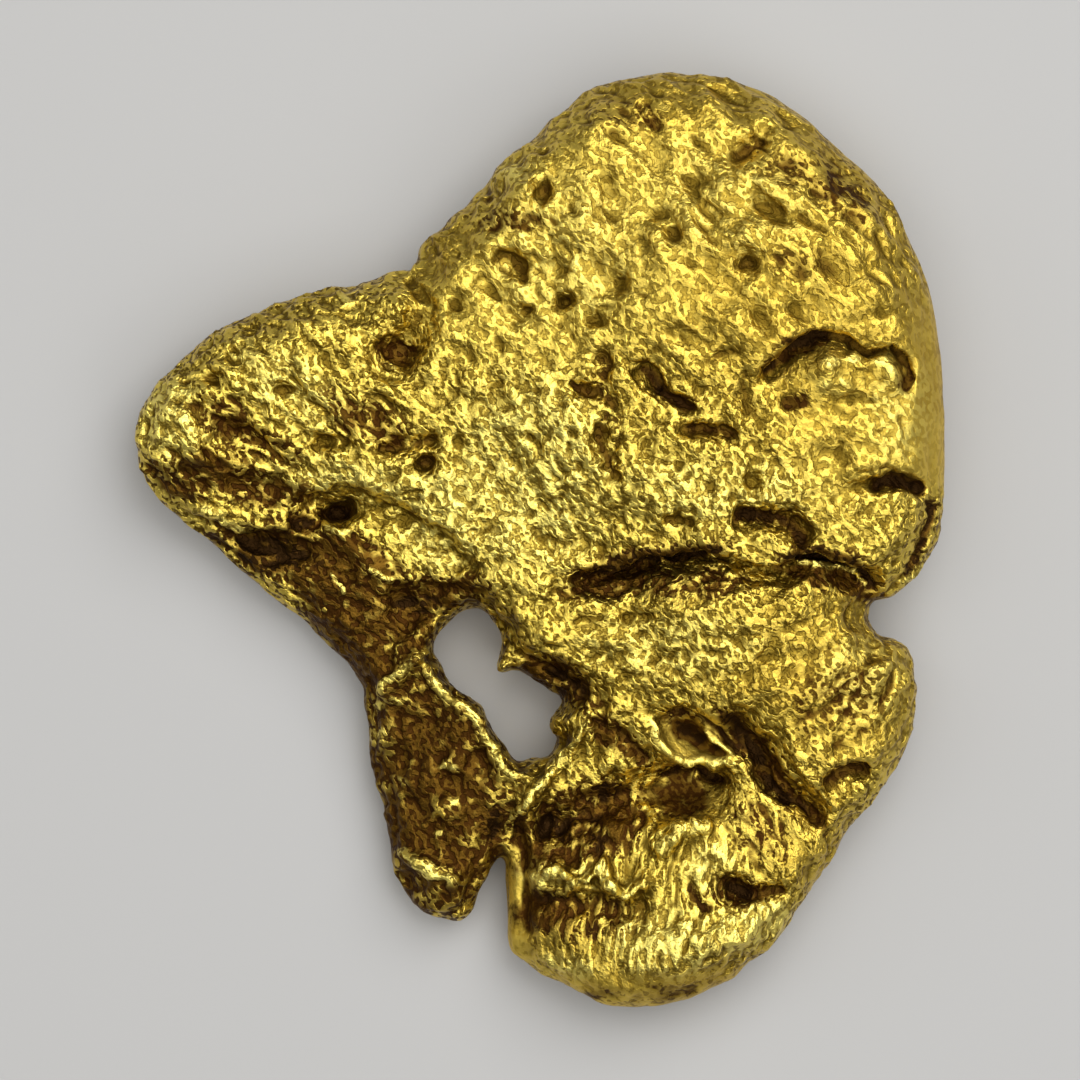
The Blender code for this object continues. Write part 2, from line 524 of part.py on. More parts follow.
def thinned_mesh(mesh):
    """The same shape in fewer triangles, small where it bends and large where it is flat."""
    obj = bpy.data.objects.new("thinning", mesh)
    bpy.context.scene.collection.objects.link(obj)
    triangles = 2 * len(mesh.polygons)
    decimate = obj.modifiers.new("fewer triangles", "DECIMATE")
    decimate.ratio = TRIANGLES / triangles
    decimate.use_collapse_triangulate = True
    result = evaluated_mesh(obj)
    bpy.data.objects.remove(obj)
    return result


def settle(mesh):
    """Presses what lies within a hair of the ground flat onto it, and centres the piece over the origin."""
    points = points_of(mesh)
    points[:, 2] -= points[:, 2].min()
    points[points[:, 2] < FLAT_WITHIN, 2] = 0
    middle = (points[:, :2].min(axis=0) + points[:, :2].max(axis=0)) / 2
    points[:, :2] -= middle
    mesh.vertices.foreach_set("co", points.ravel())
    mesh.update()


def gold_material():
    """Plain native gold."""
    material = bpy.data.materials.new("native gold")
    material.use_nodes = True
    shader = material.node_tree.nodes["Principled BSDF"]
    shader.inputs["Base Color"].default_value = GOLD
    shader.inputs["Metallic"].default_value = 1.0
    shader.inputs["Roughness"].default_value = GOLD_ROUGHNESS
    material.diffuse_color = GOLD
    return material


def make_nugget(collection):
    """The nugget, worked in millimetres and scaled to metres at the end."""
    mesh = blank_piece([OUTER_EDGE, HOLE_EDGE])
    work_blank(mesh)
    mesh = thinned_mesh(smooth_mesh(mesh, RIM_ROUNDING))
    settle(mesh)
    mesh.transform(Matrix.Scale(MM, 4))
    mesh.materials.clear()
    mesh.materials.append(gold_material())
    mesh.shade_smooth()
    mesh.name = "nugget"
    nugget = bpy.data.objects.new("nugget", mesh)
    collection.objects.link(nugget)


def main():
    """Clears the scene and makes the nugget."""
    for obj in list(bpy.data.objects):
        bpy.data.objects.remove(obj)
    collection = bpy.data.collections.new("gold nugget")
    bpy.context.scene.collection.children.link(collection)
    make_nugget(collection)


main()
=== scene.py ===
"""Gold nugget: the fine surface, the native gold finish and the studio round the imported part.

Everything is in metres in the part's own frame: +Z up, the nugget lies on the floor at z = 0. The
relief is worked in millimetres, so its sizes and places are millimetres too.
"""

import json
import math

import bpy
import numpy as np
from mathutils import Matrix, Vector, noise

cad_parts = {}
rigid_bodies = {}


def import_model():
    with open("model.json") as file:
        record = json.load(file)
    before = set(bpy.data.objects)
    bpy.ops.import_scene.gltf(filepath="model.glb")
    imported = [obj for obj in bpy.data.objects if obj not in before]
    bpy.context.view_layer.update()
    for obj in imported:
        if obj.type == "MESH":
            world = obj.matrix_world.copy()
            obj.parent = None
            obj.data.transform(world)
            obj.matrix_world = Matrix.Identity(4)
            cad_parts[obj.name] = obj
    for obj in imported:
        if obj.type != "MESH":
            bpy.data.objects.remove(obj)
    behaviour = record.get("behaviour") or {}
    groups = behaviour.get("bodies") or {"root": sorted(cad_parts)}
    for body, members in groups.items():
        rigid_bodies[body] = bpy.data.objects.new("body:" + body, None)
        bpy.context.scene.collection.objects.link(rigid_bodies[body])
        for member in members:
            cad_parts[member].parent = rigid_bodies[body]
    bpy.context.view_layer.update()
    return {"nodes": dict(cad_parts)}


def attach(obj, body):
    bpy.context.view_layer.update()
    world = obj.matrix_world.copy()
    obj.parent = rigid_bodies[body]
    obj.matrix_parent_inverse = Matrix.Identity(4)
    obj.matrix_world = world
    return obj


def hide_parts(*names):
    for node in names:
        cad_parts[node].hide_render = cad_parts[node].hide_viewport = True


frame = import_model()

bl_info = {
    "name": "Gold Nugget",
    "version": (1, 0, 0),
    "blender": (4, 5, 0),
    "location": "3D View > Sidebar > Nugget",
    "description": "Works the fine surface of a gold nugget and sets its studio",
    "category": "Object",
}

NODE = "nugget"
BODY = "root"
MM_PER_M = 1000.0

# Mesh work
WELD_MM = 0.0005  # the node's loose corners closer than this are one
UNDERSIDE_Z = 0.45  # faces turned down at least this much are the coarse underside
FLOOR_CONTACT = 0.02  # millimetres over the floor, up to which a point lies on it
HOLLOW_BLUR = 60  # averaging passes behind the hollow attribute
HOLLOW_DEPTH = 0.45  # millimetres under the blurred surface that count as fully hollow
GAP_BLUR = 12  # averaging passes behind the gap attribute
GAP_DEPTH = 0.07  # millimetres under the blurred surface that count as fully between grains

# Grain. Sizes are in grains of the kind, and seeds are added to the kind's own.
NOISE_GAIN = 1.6  # stretches the noise to about -1 to 1
BEND_SIZE = 1.4
BEND_SEEDS = (60, 70, 80)
GRAIN_BEND = 0.45  # how far the grains are bent out of round
STRINGS = (1.6, 40, 0.9, 2.8)  # crests that chain the grains: size, seed, height and slope
STRING_SHARE = 0.8  # of the strings, where all grains are chained
LOOSE_LOSS = 0.5  # of the loose grains there
FLATNESS = 1.8  # of the tops of the grains and of the gaps
SINKING = 0.2  # widens the gaps
LUMP_SIZE = 2.0
LUMP_SHARE = 0.7
LONG_CRESTS = (3.5, 30, 0.5, 1.8)
CREST_SHARE = 0.5
DIP_SIZE = 1.9
DIP_SEED = 20
DIP_RANGE = (0.25, 0.4)  # lumps past the first sink, fully when past it by the second
DIP_SHARE = 0.8
KIND_SHARPNESS = 2.2  # how abruptly one kind of grain gives way to the next
GRAIN_EDGE = 0.04  # weight under which a kind of grain is left out
FULL_GRAIN = 0.05  # millimetres of grain height that count as fully rough
SIDE_GRAIN = 0.3  # of the grain's height, on the sides and the underside

# Creases, ridges, pits and knobs
END_FADE = 0.16  # share of a line over which each of its ends runs out
LINE_PROFILE = 1.6  # power of a line's cross-section, steeper when higher
FULL_PAINTED_SHADE = 0.42  # millimetres of depth at which a crease is painted fully dark as shade
BROAD_RIDGE = 0.13  # half width in millimetres from which a ridge is a row of knobs
FULL_KNOB = 0.16  # millimetres of height at which a knob gets the full painted highlight
SHINE_WIDTH = 1.1  # of the painted highlight along a ridge's crest, in its half widths
PAINTED_SHADE_WIDTH = 1.5  # of the painted shade along a crease, in its half widths
RIM_FILM_AND_SHADE = 0.35  # strength of the painted shade, in the film colour, on the sides of the nugget
RIM_WARMTH_AND_SHADE = 0.9  # of the warmer gold painted there as shade

# How steeply a face is turned up where an effect starts, and how much more until it is full
CARVED = (-0.1, 0.5)
COLOURED = (-0.3, 0.5)
RIM = (-0.6, 0.5)  # the same, measured downwards

# What changes slowly from place to place: millimetres across, seed and amount
CREASE_DEPTHS = (0.4, 91, 0.6)
RIDGE_KNOBS = (0.26, 94, 0.9)
LINE_WIDTHS = (0.7, 92, 0.5)
PAINTED_SHADE_WIDTHS = (0.45, 93, 0.5)
BROAD_PATCHES = (0.9, 71, 0.3)
SMALL_PATCHES = (0.35, 73, 0.5)
RIM_PATCHES = (0.6, 72, 0.6)
UNEVEN_LIMITS = (0.1, 2)
WANDERINGS = ((0.10, 0.8), (0.03, 0.28))  # how far places are moved, and millimetres across
WANDER_SEEDS = (61, 62)

# Finish. Ranges go from no effect to full effect. The finest grain is 0 in its gaps and 1 on top.
BLOB = (0.41, 0.56)  # noise between these is the flank of a blob
SPECK = (0.35, 0.65)
# The next seven ranges paint shade between the grains, a highlight on their tops, brown film and shade in
# the hollows, and shade in the creases.
LOW_BEADS = (0.52, 0.10)
HIGH_BEADS = (0.40, 0.85)
GRAIN_GAPS = (0.45, 0.72)  # depth, 0.5 where level
GRAIN_TOPS = (0.52, 0.22)
SUNK = (0.70, 1.0)
COVERED = (0.30, 0.90)
SHADED = (0.50, 1.0)
BEND_WAVES = 0.8  # waves in a finest grain, of the noise that bends it
BEND_REACH = 0.5  # of a finest grain
BLOB_WAVES = 0.80
SPECK_WAVES = 1.4
SLANTING = (-50, (1.3, 0.95, 1.0))  # direction in degrees, and stretch
UPRIGHT = (86, (2.5, 1.0, 1.0))
BLOB_SHARE = 0.7
SPECK_SHARE = 0.3
WORN_AND_LIT_GAPS = -0.2  # how much the painted shade between the finest grains changes where the gold is worn and painted bright
TOPS_SHARE = 0.7  # of the tops of the larger grains, in the painted highlight
SHINE = (0.8, 0.12)  # how pale the painted highlight on the tops is: more where worn and painted bright, and everywhere
# how much paler the whole body is where worn and painted bright
WORN_AND_LIT_BODY = 0.2
# brown film and painted shade in the hollows, and how far it spreads into the gaps
SUNK_FILM_AND_SHADE = 0.55
GAP_FILM_AND_SHADE = 0.45
# painted shade, near black, in the creases and deep between the grains
CREASE_PAINTED_SHADE = 0.72
GAP_PAINTED_SHADE = 0.40
SMOOTH_DULL = 0.22  # added roughness where there is no grain
DIRTY_DULL = 0.12  # and in gaps and film
BUMP = (0.85, 0.15)  # strength: more on grain, and everywhere
MARKS = ("hollow", "gap", "film", "warmth", "worn", "grain", "crease", "strokes")
NODE_GRID = (8, 8)  # the nodes stand in this many columns and rows
NODE_SPACE = (220, 280)

# Stage, in metres
SOFTBOXES = {  # each faces the nugget: place and width
    "key": ((0.11, 0.15, 0.25), 0.26),
    "top": ((0.06, 0.02, 0.34), 0.62),
    "fill": ((0.15, -0.18, 0.20), 0.15),
    "side": ((-0.22, 0.05, 0.17), 0.20),
}
FLOOR_SIDES = 96
FLOOR_ROUGHNESS = 0.6
RIM_HEIGHT = 0.002  # the view width is measured at this height
CLIP_RANGE = 100  # the camera sees from its distance over this to its distance times this

# Kinds of grain: where (x, y, half width, half height), size, stretch, its direction in degrees,
# height, the share of it that is chains of grains, and the height of the swells under it
GRAINS = {
    "crown of the lobe": (5, 7.6, 3.8, 3.4, 0.29, 2.2, -42, 0.037, 0.5, 0.13),
    "left of the lobe": (0.2, 6.6, 2.6, 2.6, 0.28, 1.6, -50, 0.038, 0.5, 0.12),
    "middle": (1.5, 2.4, 4.2, 2.6, 0.26, 1.4, -65, 0.052, 0.6, 0.09),
    "right of the lobe": (8, 3.6, 1.8, 2.2, 0.26, 1.3, 0, 0.034, 0.4, 0.08),
    "smooth right edge": (9.6, 3.6, 0.9, 2, 0.34, 1, 0, 0.008, 0.2, 0.02),
    "knob at the right": (8.7, 0.4, 1.4, 1, 0.26, 1.3, 0, 0.046, 0.5, 0.07),
    "smooth top": (7, 9.4, 1.8, 0.8, 0.28, 1.6, -30, 0.028, 0.3, 0.07),
    "arm": (-6.4, 3.4, 3.2, 2.2, 0.26, 1.9, -42, 0.056, 0.7, 0.105),
    "over the hole": (-2.6, 0.8, 2.2, 1.6, 0.26, 1.4, 20, 0.052, 0.6, 0.07),
    "waist": (-5.2, -0.9, 2.4, 1.4, 0.28, 2, -25, 0.058, 0.7, 0.1),
    "leg": (-2.9, -6.2, 1.6, 3.2, 0.3, 1.4, 70, 0.044, 0.4, 0.1),
    "top of the block": (3, -2.4, 3.4, 1.6, 0.26, 1.6, 15, 0.05, 0.6, 0.085),
    "right of the block": (8, -3.6, 1.6, 1.8, 0.26, 1.8, 40, 0.038, 0.3, 0.08),
    "under the hole": (1.4, -4.6, 1.3, 1.3, 0.26, 2.2, 75, 0.055, 0.6, 0.08),
    "foot": (2.2, -8.8, 2.8, 2.4, 0.24, 3, 84, 0.058, 0.3, 0.07),
    "right of the foot": (6.4, -7, 1.8, 1.8, 0.26, 2.6, -58, 0.052, 0.4, 0.08),
    "concave": (3.6, -6.45, 0.75, 0.45, 0.3, 1.2, 0, 0.012, 0.2, 0.03),
    "eye": (3.9, -4.95, 0.8, 0.5, 0.3, 1.2, -30, 0.014, 0.2, 0.03),
    "bottom of the foot": (2.4, -11.3, 2.8, 0.55, 0.3, 1, 0, 0.016, 0.2, 0.04),
    "wall of the slit": (-0.5, -9.2, 0.5, 1.4, 0.4, 2, 90, 0.008, 0.2, 0.02),
}

# Narrow creases below zero and thin ridges above: half width, height, points
CREASES = {
    "main fold": [
        (0.1, -0.4, [
            (0.45, -1.12), (0.65, -1), (1.58, -0.68), (2.4, -0.4), (3.2, -0.25), (4.02, -0.18),
            (4.75, -0.24)]),
        (0.11, -0.45, [
            (5.6, -0.62), (5.92, -0.6), (6.48, -0.32), (7, -0.27), (7.55, -0.42), (8.1, -0.82),
            (8.5, -1.4)]),
    ],
    "over the fold": [
        (0.11, -0.36, [
            (4.55, 0.4), (4.85, 0.54), (5.22, 0.62), (5.8, 0.52), (6.3, 0.24), (6.62, -0.1), (6.75, -0.4)]),
        (0.08, -0.2, [(3, 0.44), (3.2, 0.54), (3.5, 0.54), (3.8, 0.38)]),
    ],
    "gashes in the middle of the lobe": [
        (0.09, -0.34, [(2.25, 4.22), (2.6, 4.05), (3.2, 3.6), (3.9, 3.12)]),
        (0.1, -0.26, [(0.75, 4), (1, 3.8), (1.35, 3.5)]),
        (0.08, -0.26, [(3.4, 2.82), (4, 2.72), (4.5, 2.66), (5, 2.5)]),
        (0.1, -0.24, [
            (1.4, 4.95), (1.58, 4.25), (1.42, 3.7), (1.8, 3.4), (1.5, 2.9), (1.42, 2.45), (1.75, 1.75),
            (2.15, 1.35)]),
        (0.1, -0.2, [(1.75, 3.3), (2, 2.6), (1.8, 2)]),
        (0.1, -0.16, [(3.9, 4.4), (4.5, 4.62), (5.1, 4.55)]),
    ],
    "right edge and its knob": [
        (0.1, -0.2, [(7.9, 1.62), (8.3, 1.72), (8.8, 1.58)]),
        (0.11, -0.42, [(8.05, 1.34), (8.5, 1.4), (9, 1.45), (9.7, 1.28)]),
        (0.08, -0.4, [
            (9.5, 1.18), (9.7, 0.88), (9.74, 0.5), (9.66, 0.1), (9.45, -0.25), (9.15, -0.6),
            (8.85, -0.95)]),
        (0.06, -0.22, [(9.85, 0.4), (9.75, 0), (9.38, -0.5), (9.02, -0.84)]),
    ],
    "arched hollow": [
        (0.16, -0.22, [
            (5.45, 4.05), (5.8, 4.5), (6.2, 4.88), (6.6, 5.05), (7, 5.06), (7.4, 5), (7.75, 4.86),
            (8.1, 4.64), (8.45, 4.76), (8.8, 4.7), (9.05, 4.4), (9, 3.95)]),
        (0.1, -0.22, [(5.95, 3.62), (6.1, 3.38), (6.4, 3.3)]),
        (0.12, -0.16, [(5.2, 4.2), (5.05, 3.6), (5.15, 3)]),
    ],
    "grooves at the top of the lobe": [
        (0.08, -0.12, [(4.72, 9.45), (5.2, 9.8), (5.4, 9.95), (5.7, 10.2)]),
        (0.11, -0.06, [(3.95, 7.95), (4.3, 7.4), (4.65, 7)]),
        (0.11, -0.14, [(5, 8.4), (6, 8.15), (6.6, 8), (7.25, 7.62)]),
        (0.11, -0.13, [(6.6, 8.6), (7.2, 8.3), (7.9, 8)]),
        (0.1, -0.12, [(5.3, 7.9), (5.6, 7.5), (5.65, 7.2)]),
        (0.1, -0.15, [(1.15, 10.7), (1.6, 10.98), (1.95, 11), (2.3, 10.75)]),
    ],
    "arcs in the lobe": [
        (0.08, -0.14, [(1.92, 6.85), (1.95, 6.6), (1.9, 6.35)]),
        (0.08, -0.14, [(2.05, 6.2), (2.3, 6.05), (2.6, 5.85)]),
        (0.09, -0.2, [(-1.2, 6.92), (-0.9, 7.02), (-0.5, 6.78), (-0.28, 6.35)]),
        (0.07, -0.2, [(4.62, 6.55), (4.82, 6.8), (5.15, 6.86), (5.45, 6.74)]),
        (0.07, -0.12, [(8.3, 6.42), (8.6, 6.44), (8.88, 6.2)]),
    ],
    "arm and its root": [
        (0.14, -0.14, [(-3.15, 5.2), (-3, 5.9), (-3.2, 6.7)]),
        (0.1, -0.22, [(-4.1, 2.2), (-3.6, 2.3), (-3.1, 2.42), (-2.45, 2.58)]),
        (0.08, -0.16, [(-9.15, 3.92), (-8.5, 3.98), (-7.85, 4.02)]),
        (0.08, -0.16, [(-6.42, 4.35), (-5.9, 4.15), (-5.6, 4.02)]),
        (0.08, -0.14, [(-6.62, 3.7), (-6.3, 3.66), (-6, 3.66)]),
        (0.08, -0.16, [(-6.65, 5.62), (-6.42, 5.82), (-6.15, 6.05)]),
    ],
    "shelf and waist": [
        (0.07, -0.22, [(-8.45, 0.36), (-8.1, 0.34), (-7.8, 0.26)]),
        (0.14, -0.26, [(-7.8, 0.05), (-7.2, 0.05), (-6.4, 0.2), (-5.7, 0.5)]),
        (0.1, -0.2, [(-7, -0.5), (-6.3, -0.45), (-5.7, -0.3)]),
    ],
    "below the fold": [
        (0.11, -0.24, [(0.7, -1.1), (1.2, -1.32), (1.9, -1.28), (2.8, -0.95)]),
        (0.06, -0.12, [(1.9, -2.02), (2.4, -1.95), (2.95, -1.78)]),
    ],
    "eye, concave and trench": [
        (0.11, -0.36, [
            (2.9, -4.42), (3.3, -4.32), (3.73, -4.35), (4.2, -4.52), (4.75, -5.02), (5.2, -5.45)]),
        (0.11, -0.36, [(2.85, -5.98), (3.1, -5.86), (3.5, -5.77), (4, -5.77), (4.67, -6.1)]),
        (0.2, -0.26, [
            (4.27, -4.3), (4.7, -4.45), (5.1, -4.75), (5.53, -5.43), (5.87, -6.2), (6.4, -6.6), (7, -7.1)]),
        (0.12, -0.28, [(1.2, -4.15), (1.7, -4.6), (2.2, -5.03), (2.87, -5.57)]),
    ],
    "foot": [
        (0.12, -0.3, [(3.6, -8.5), (3.95, -8.95), (4.36, -9.36)]),
        (0.09, -0.28, [(4.9, -8.78), (5.6, -8.84), (6.3, -8.8)]),
        (0.26, -0.16, [(-0.7, -8.85), (0.2, -8.98), (1.2, -9.05), (2.3, -9.15), (3, -9)]),
    ],
    "arch at the right of the block": [
        (0.12, -0.26, [(7.05, -6.15), (7.15, -5.98), (7.5, -5.7), (8, -5.64), (8.22, -5.92)]),
    ],
    "ridge in the fold": [
        (0.08, 0.22, [
            (5.95, -0.72), (6.38, -0.58), (6.9, -0.56), (7.48, -0.62), (7.92, -0.86), (8.28, -1.26)]),
    ],
    "lip of the hole, ridge from the slit": [
        (0.075, 0.2, [
            (-2.98, -2.9), (-2.9, -3.05), (-2.62, -3.45), (-2.4, -3.78), (-2.22, -4.02), (-1.85, -4.2),
            (-1.55, -4.42), (-1.3, -4.95), (-1.08, -5.45), (-0.88, -5.75), (-0.6, -5.92), (-0.15, -5.95),
            (0.1, -5.88)]),
        (0.08, 0.18, [
            (-0.75, -7.1), (-0.5, -6.75), (-0.25, -6.38), (0.18, -5.88), (0.7, -5.25), (1.12, -4.55),
            (1.35, -4)]),
    ],
    "V ridge, ridge in the eye": [
        (0.1, 0.2, [
            (2.6, -4.25), (2.73, -4.45), (2.87, -4.9), (3.25, -5.3), (3.63, -5.56), (4.4, -5.62),
            (4.95, -5.58)]),
        (0.06, 0.18, [(3.95, -4.62), (4.38, -5), (4.78, -5.42)]),
    ],
    "brim of the deep pit, crest of the shelf": [
        (0.07, 0.16, [(-5.45, 0.55), (-5.25, 0.3), (-4.9, 0.22), (-4.6, 0.35)]),
        (0.08, 0.16, [(-8.9, 0.62), (-8.5, 0.66), (-8.05, 0.58), (-7.65, 0.32), (-7.1, 0.12)]),
    ],
    "crests of the foot": [
        (0.13, 0.24, [
            (-0.3, -8.12), (0.08, -8.48), (0.5, -8.2), (0.8, -8.48), (1.1, -8.42), (1.5, -8.08),
            (1.68, -8.56), (2.08, -8.75), (2.6, -8.42)]),
        (0.15, 0.22, [(2.8, -7.8), (3.07, -7.63), (3.53, -7.3), (4.27, -7.03)]),
    ],
    "ridges at the waist": [
        (0.07, 0.14, [(-5.4, -0.85), (-5, -1.1), (-4.85, -1.35)]),
        (0.07, 0.14, [(-4.3, -0.68), (-3.95, -0.8), (-3.6, -1.05)]),
    ],
    "crests of the leg": [
        (0.15, 0.15, [(-3.7, -7.7), (-3.35, -7.86), (-3, -8.1), (-2.5, -8.36), (-2, -8.62)]),
        (0.1, 0.16, [(-2.65, -2.55), (-3.2, -3.05), (-3.8, -3.6), (-4.15, -4)]),
    ],
    "rim strip": [
        (0.07, 0.14, [(9.6, -0.45), (9.25, -0.78), (8.85, -1.1)]),
    ],
}

# Small pits below zero and knobs above: x, y, half width, half height, turn in degrees, height
DOTS = {
    "by the knob of the lobe": [
        (-1.28, 8.6, 0.13, 0.22, 0, -0.24), (0.05, 8.7, 0.16, 0.26, -15, -0.22),
        (-0.52, 9.05, 0.42, 0.36, 0, 0.12)],
    "top of the lobe": [
        (1.25, 10.32, 0.14, 0.1, 0, -0.14), (2.62, 10.38, 0.16, 0.1, 20, -0.14),
        (2.4, 9.2, 0.34, 0.1, 10, -0.12), (6.18, 10.35, 0.2, 0.12, -15, -0.2),
        (5.62, 10.25, 0.1, 0.08, 0, -0.14), (5.15, 9.4, 0.16, 0.1, 20, 0.1),
        (5.3, 8.95, 0.14, 0.1, 0, 0.1)],
    "oval pit and ring": [(-0.78, 6.72, 0.34, 0.22, -25, -0.2), (5, 6.52, 0.3, 0.2, 0, -0.12)],
    "under the oval pit": [
        (-0.28, 5.75, 0.18, 0.11, 20, -0.15), (-0.92, 5.7, 0.15, 0.09, -30, -0.12),
        (-0.66, 5.42, 0.13, 0.09, 15, -0.12), (-2.12, 5.8, 0.18, 0.12, 40, -0.14)],
    "middle of the lobe": [
        (0.58, 5.92, 0.28, 0.11, 25, -0.2), (1.28, 5.42, 0.22, 0.11, 25, -0.13),
        (3.28, 7.5, 0.11, 0.26, -10, -0.16)],
    "tiny pits at the right edge": [
        (8.9, 3.12, 0.09, 0.07, 0, -0.1), (9.12, 1.75, 0.09, 0.07, 0, -0.1),
        (8.32, 2.82, 0.08, 0.07, 0, -0.1), (9.3, 4.2, 0.08, 0.07, 0, -0.08),
        (8.7, 2.2, 0.08, 0.07, 0, -0.08)],
    "knobs in the arch": [
        (7.2, 4.4, 0.2, 0.16, 0, 0.16), (7.72, 4.52, 0.18, 0.14, 0, 0.18),
        (8.45, 4.42, 0.2, 0.14, 0, 0.16), (8.62, 4.15, 0.16, 0.14, 0, 0.14),
        (7.15, 3.75, 0.18, 0.14, 0, 0.12), (7.52, 3.85, 0.14, 0.12, 0, 0.12)],
    "floor and end of the arch": [(6.45, 4.82, 0.34, 0.18, 20, -0.18), (9.1, 3.9, 0.2, 0.2, 0, -0.18)],
    "pits at the root of the arm": [(-2.85, 1.95, 0.2, 0.14, 0, -0.28), (-5.05, 0.75, 0.38, 0.2, 8, -0.36)],
    "hollow at the root": [(-3.5, 4.7, 0.34, 0.26, 20, -0.26), (-3.62, 4.3, 0.24, 0.14, 0, 0.1)],
    "arm": [
        (-4.88, 6.15, 0.18, 0.14, 0, 0.1), (-4.68, 6.22, 0.07, 0.06, 0, -0.12),
        (-4.98, 2.38, 0.3, 0.12, -10, -0.18), (-5.45, 2.3, 0.22, 0.1, 0, -0.14)],
    "foot": [
        (4.95, -8.72, 0.46, 0.16, -8, -0.2), (4.4, -7.88, 0.36, 0.26, -40, 0.16),
        (3.9, -8.45, 0.34, 0.24, -40, 0.16)],
    "lumps on the leg": [
        (-2.3, -5.6, 0.3, 0.16, -15, 0.12), (-4, -4.92, 0.28, 0.12, 10, 0.12),
        (-2.2, -6.66, 0.22, 0.14, 0, 0.1), (-3.55, -5.98, 0.22, 0.1, -20, 0.1),
        (-2.6, -7.36, 0.16, 0.12, 0, 0.12), (-3.45, -4.08, 0.26, 0.1, 10, 0.12),
        (-4.05, -4.12, 0.22, 0.12, 0, 0.12)],
    "hatch at the right of the block": [
        (7.4, -4.2, 0.1, 0.05, 40, -0.1), (7.7, -4.45, 0.12, 0.05, 40, -0.1),
        (8.1, -3.9, 0.1, 0.05, 40, -0.1), (8.45, -4.6, 0.12, 0.05, 40, -0.1),
        (7.95, -3.1, 0.1, 0.05, 40, -0.08)],
    "spike by the hole": [(-1, -3.2, 0.16, 0.14, 0, 0.16)],
}

# Folds that hang over what lies under them: how far, over what reach, and the line. Walking along
# it, the overhanging side is on the left.
OVERHANGS = {
    "lobe over block": (0.24, 0.3, [
        (0.65, -1), (1.58, -0.68), (2.4, -0.4), (3.2, -0.25), (4.02, -0.18), (4.62, -0.22), (5.92, -0.58),
        (6.48, -0.3), (7, -0.25), (7.55, -0.4), (8.1, -0.8), (8.5, -1.4)]),
    "arched hollow": (0.16, 0.2, [
        (5.38, 4.08), (5.65, 4.42), (5.98, 4.8), (6.28, 5.12), (6.72, 5.32), (7.15, 5.25), (7.55, 5.12),
        (7.85, 4.92), (8.15, 4.76), (8.4, 4.88), (8.7, 4.92), (8.95, 4.78), (9.2, 4.52), (9.22, 4)]),
}

# Where the gold is filmed and painted in shade, painted in shade in its recesses, warmer and painted in
# shade, or worn and painted bright: x, y, half width, half height, turn in degrees, strength
FILM_AND_SHADE = {
    "leg": [(-3, -6.2, 2.4, 3.9, 8, 0.85), (-4.6, -2.6, 1.8, 1.1, -46, 1)],
    "waist": [(-5, -0.9, 2.5, 1.15, -32, 1), (-6.7, -0.3, 1.7, 0.6, -14, 0.95)],
    "round the hole": [
        (-2.6, -1.35, 1.5, 0.5, 4, 0.9), (-3.3, -2.1, 0.8, 0.8, 0, 0.85),
        (0.4, -3.5, 1.2, 0.5, -24, 0.95), (1.9, -4.9, 1.2, 0.35, -42, 0.8)],
    "arm": [
        (-7.6, 1.5, 1.9, 0.6, -14, 0.72), (-9.2, 1.45, 0.9, 0.35, -25, 0.95),
        (-7.9, 3, 0.9, 0.6, -35, 0.6), (-6.8, 2.3, 1, 0.4, -20, 0.6), (-4.3, 3, 1.3, 0.6, -28, 0.6),
        (-3.5, 4.6, 0.5, 0.4, 0, 0.8)],
    "fold": [
        (1.9, -1, 1.4, 0.4, 14, 0.9), (3.6, -1, 1.8, 0.4, -4, 0.6), (7.3, -0.95, 1.4, 0.42, -16, 0.95)],
    "arched hollow": [
        (6.5, 4.8, 0.8, 0.26, 14, 0.95), (8.9, 4.1, 0.34, 0.5, 10, 0.6), (6.3, 3.4, 0.4, 0.25, 0, 0.6)],
    "eye and trench": [
        (4, -4.9, 1, 0.36, -30, 0.95), (3.6, -6.4, 0.9, 0.55, 8, 0.85), (5.8, -5.8, 1.9, 0.4, -50, 0.85)],
    "foot": [
        (0.9, -7.1, 1.8, 1, 14, 1), (5.4, -7.2, 1.1, 0.8, -40, 0.5), (0.5, -9.35, 1.9, 0.6, -3, 0.8),
        (2.4, -11.4, 2.4, 0.35, 5, 0.55), (4.9, -8.8, 0.8, 0.4, 0, 0.7)],
    "slit": [(-0.3, -8.6, 0.5, 2, 0, 0.55), (-1.2, -7, 0.6, 1.1, 0, 0.95)],
    "lobe": [
        (-0.9, 7.95, 1.2, 0.34, -4, 0.55), (2.1, 10.5, 1.1, 0.45, 0, 0.42),
        (5.9, 9.3, 1.3, 0.6, -25, 0.5), (7.4, 8.7, 1.4, 0.8, -45, 0.45), (6.5, 6.8, 0.9, 0.6, -30, 0.36)],
    "block": [(7.5, -3.9, 1.5, 1.2, 40, 0.38)],
}
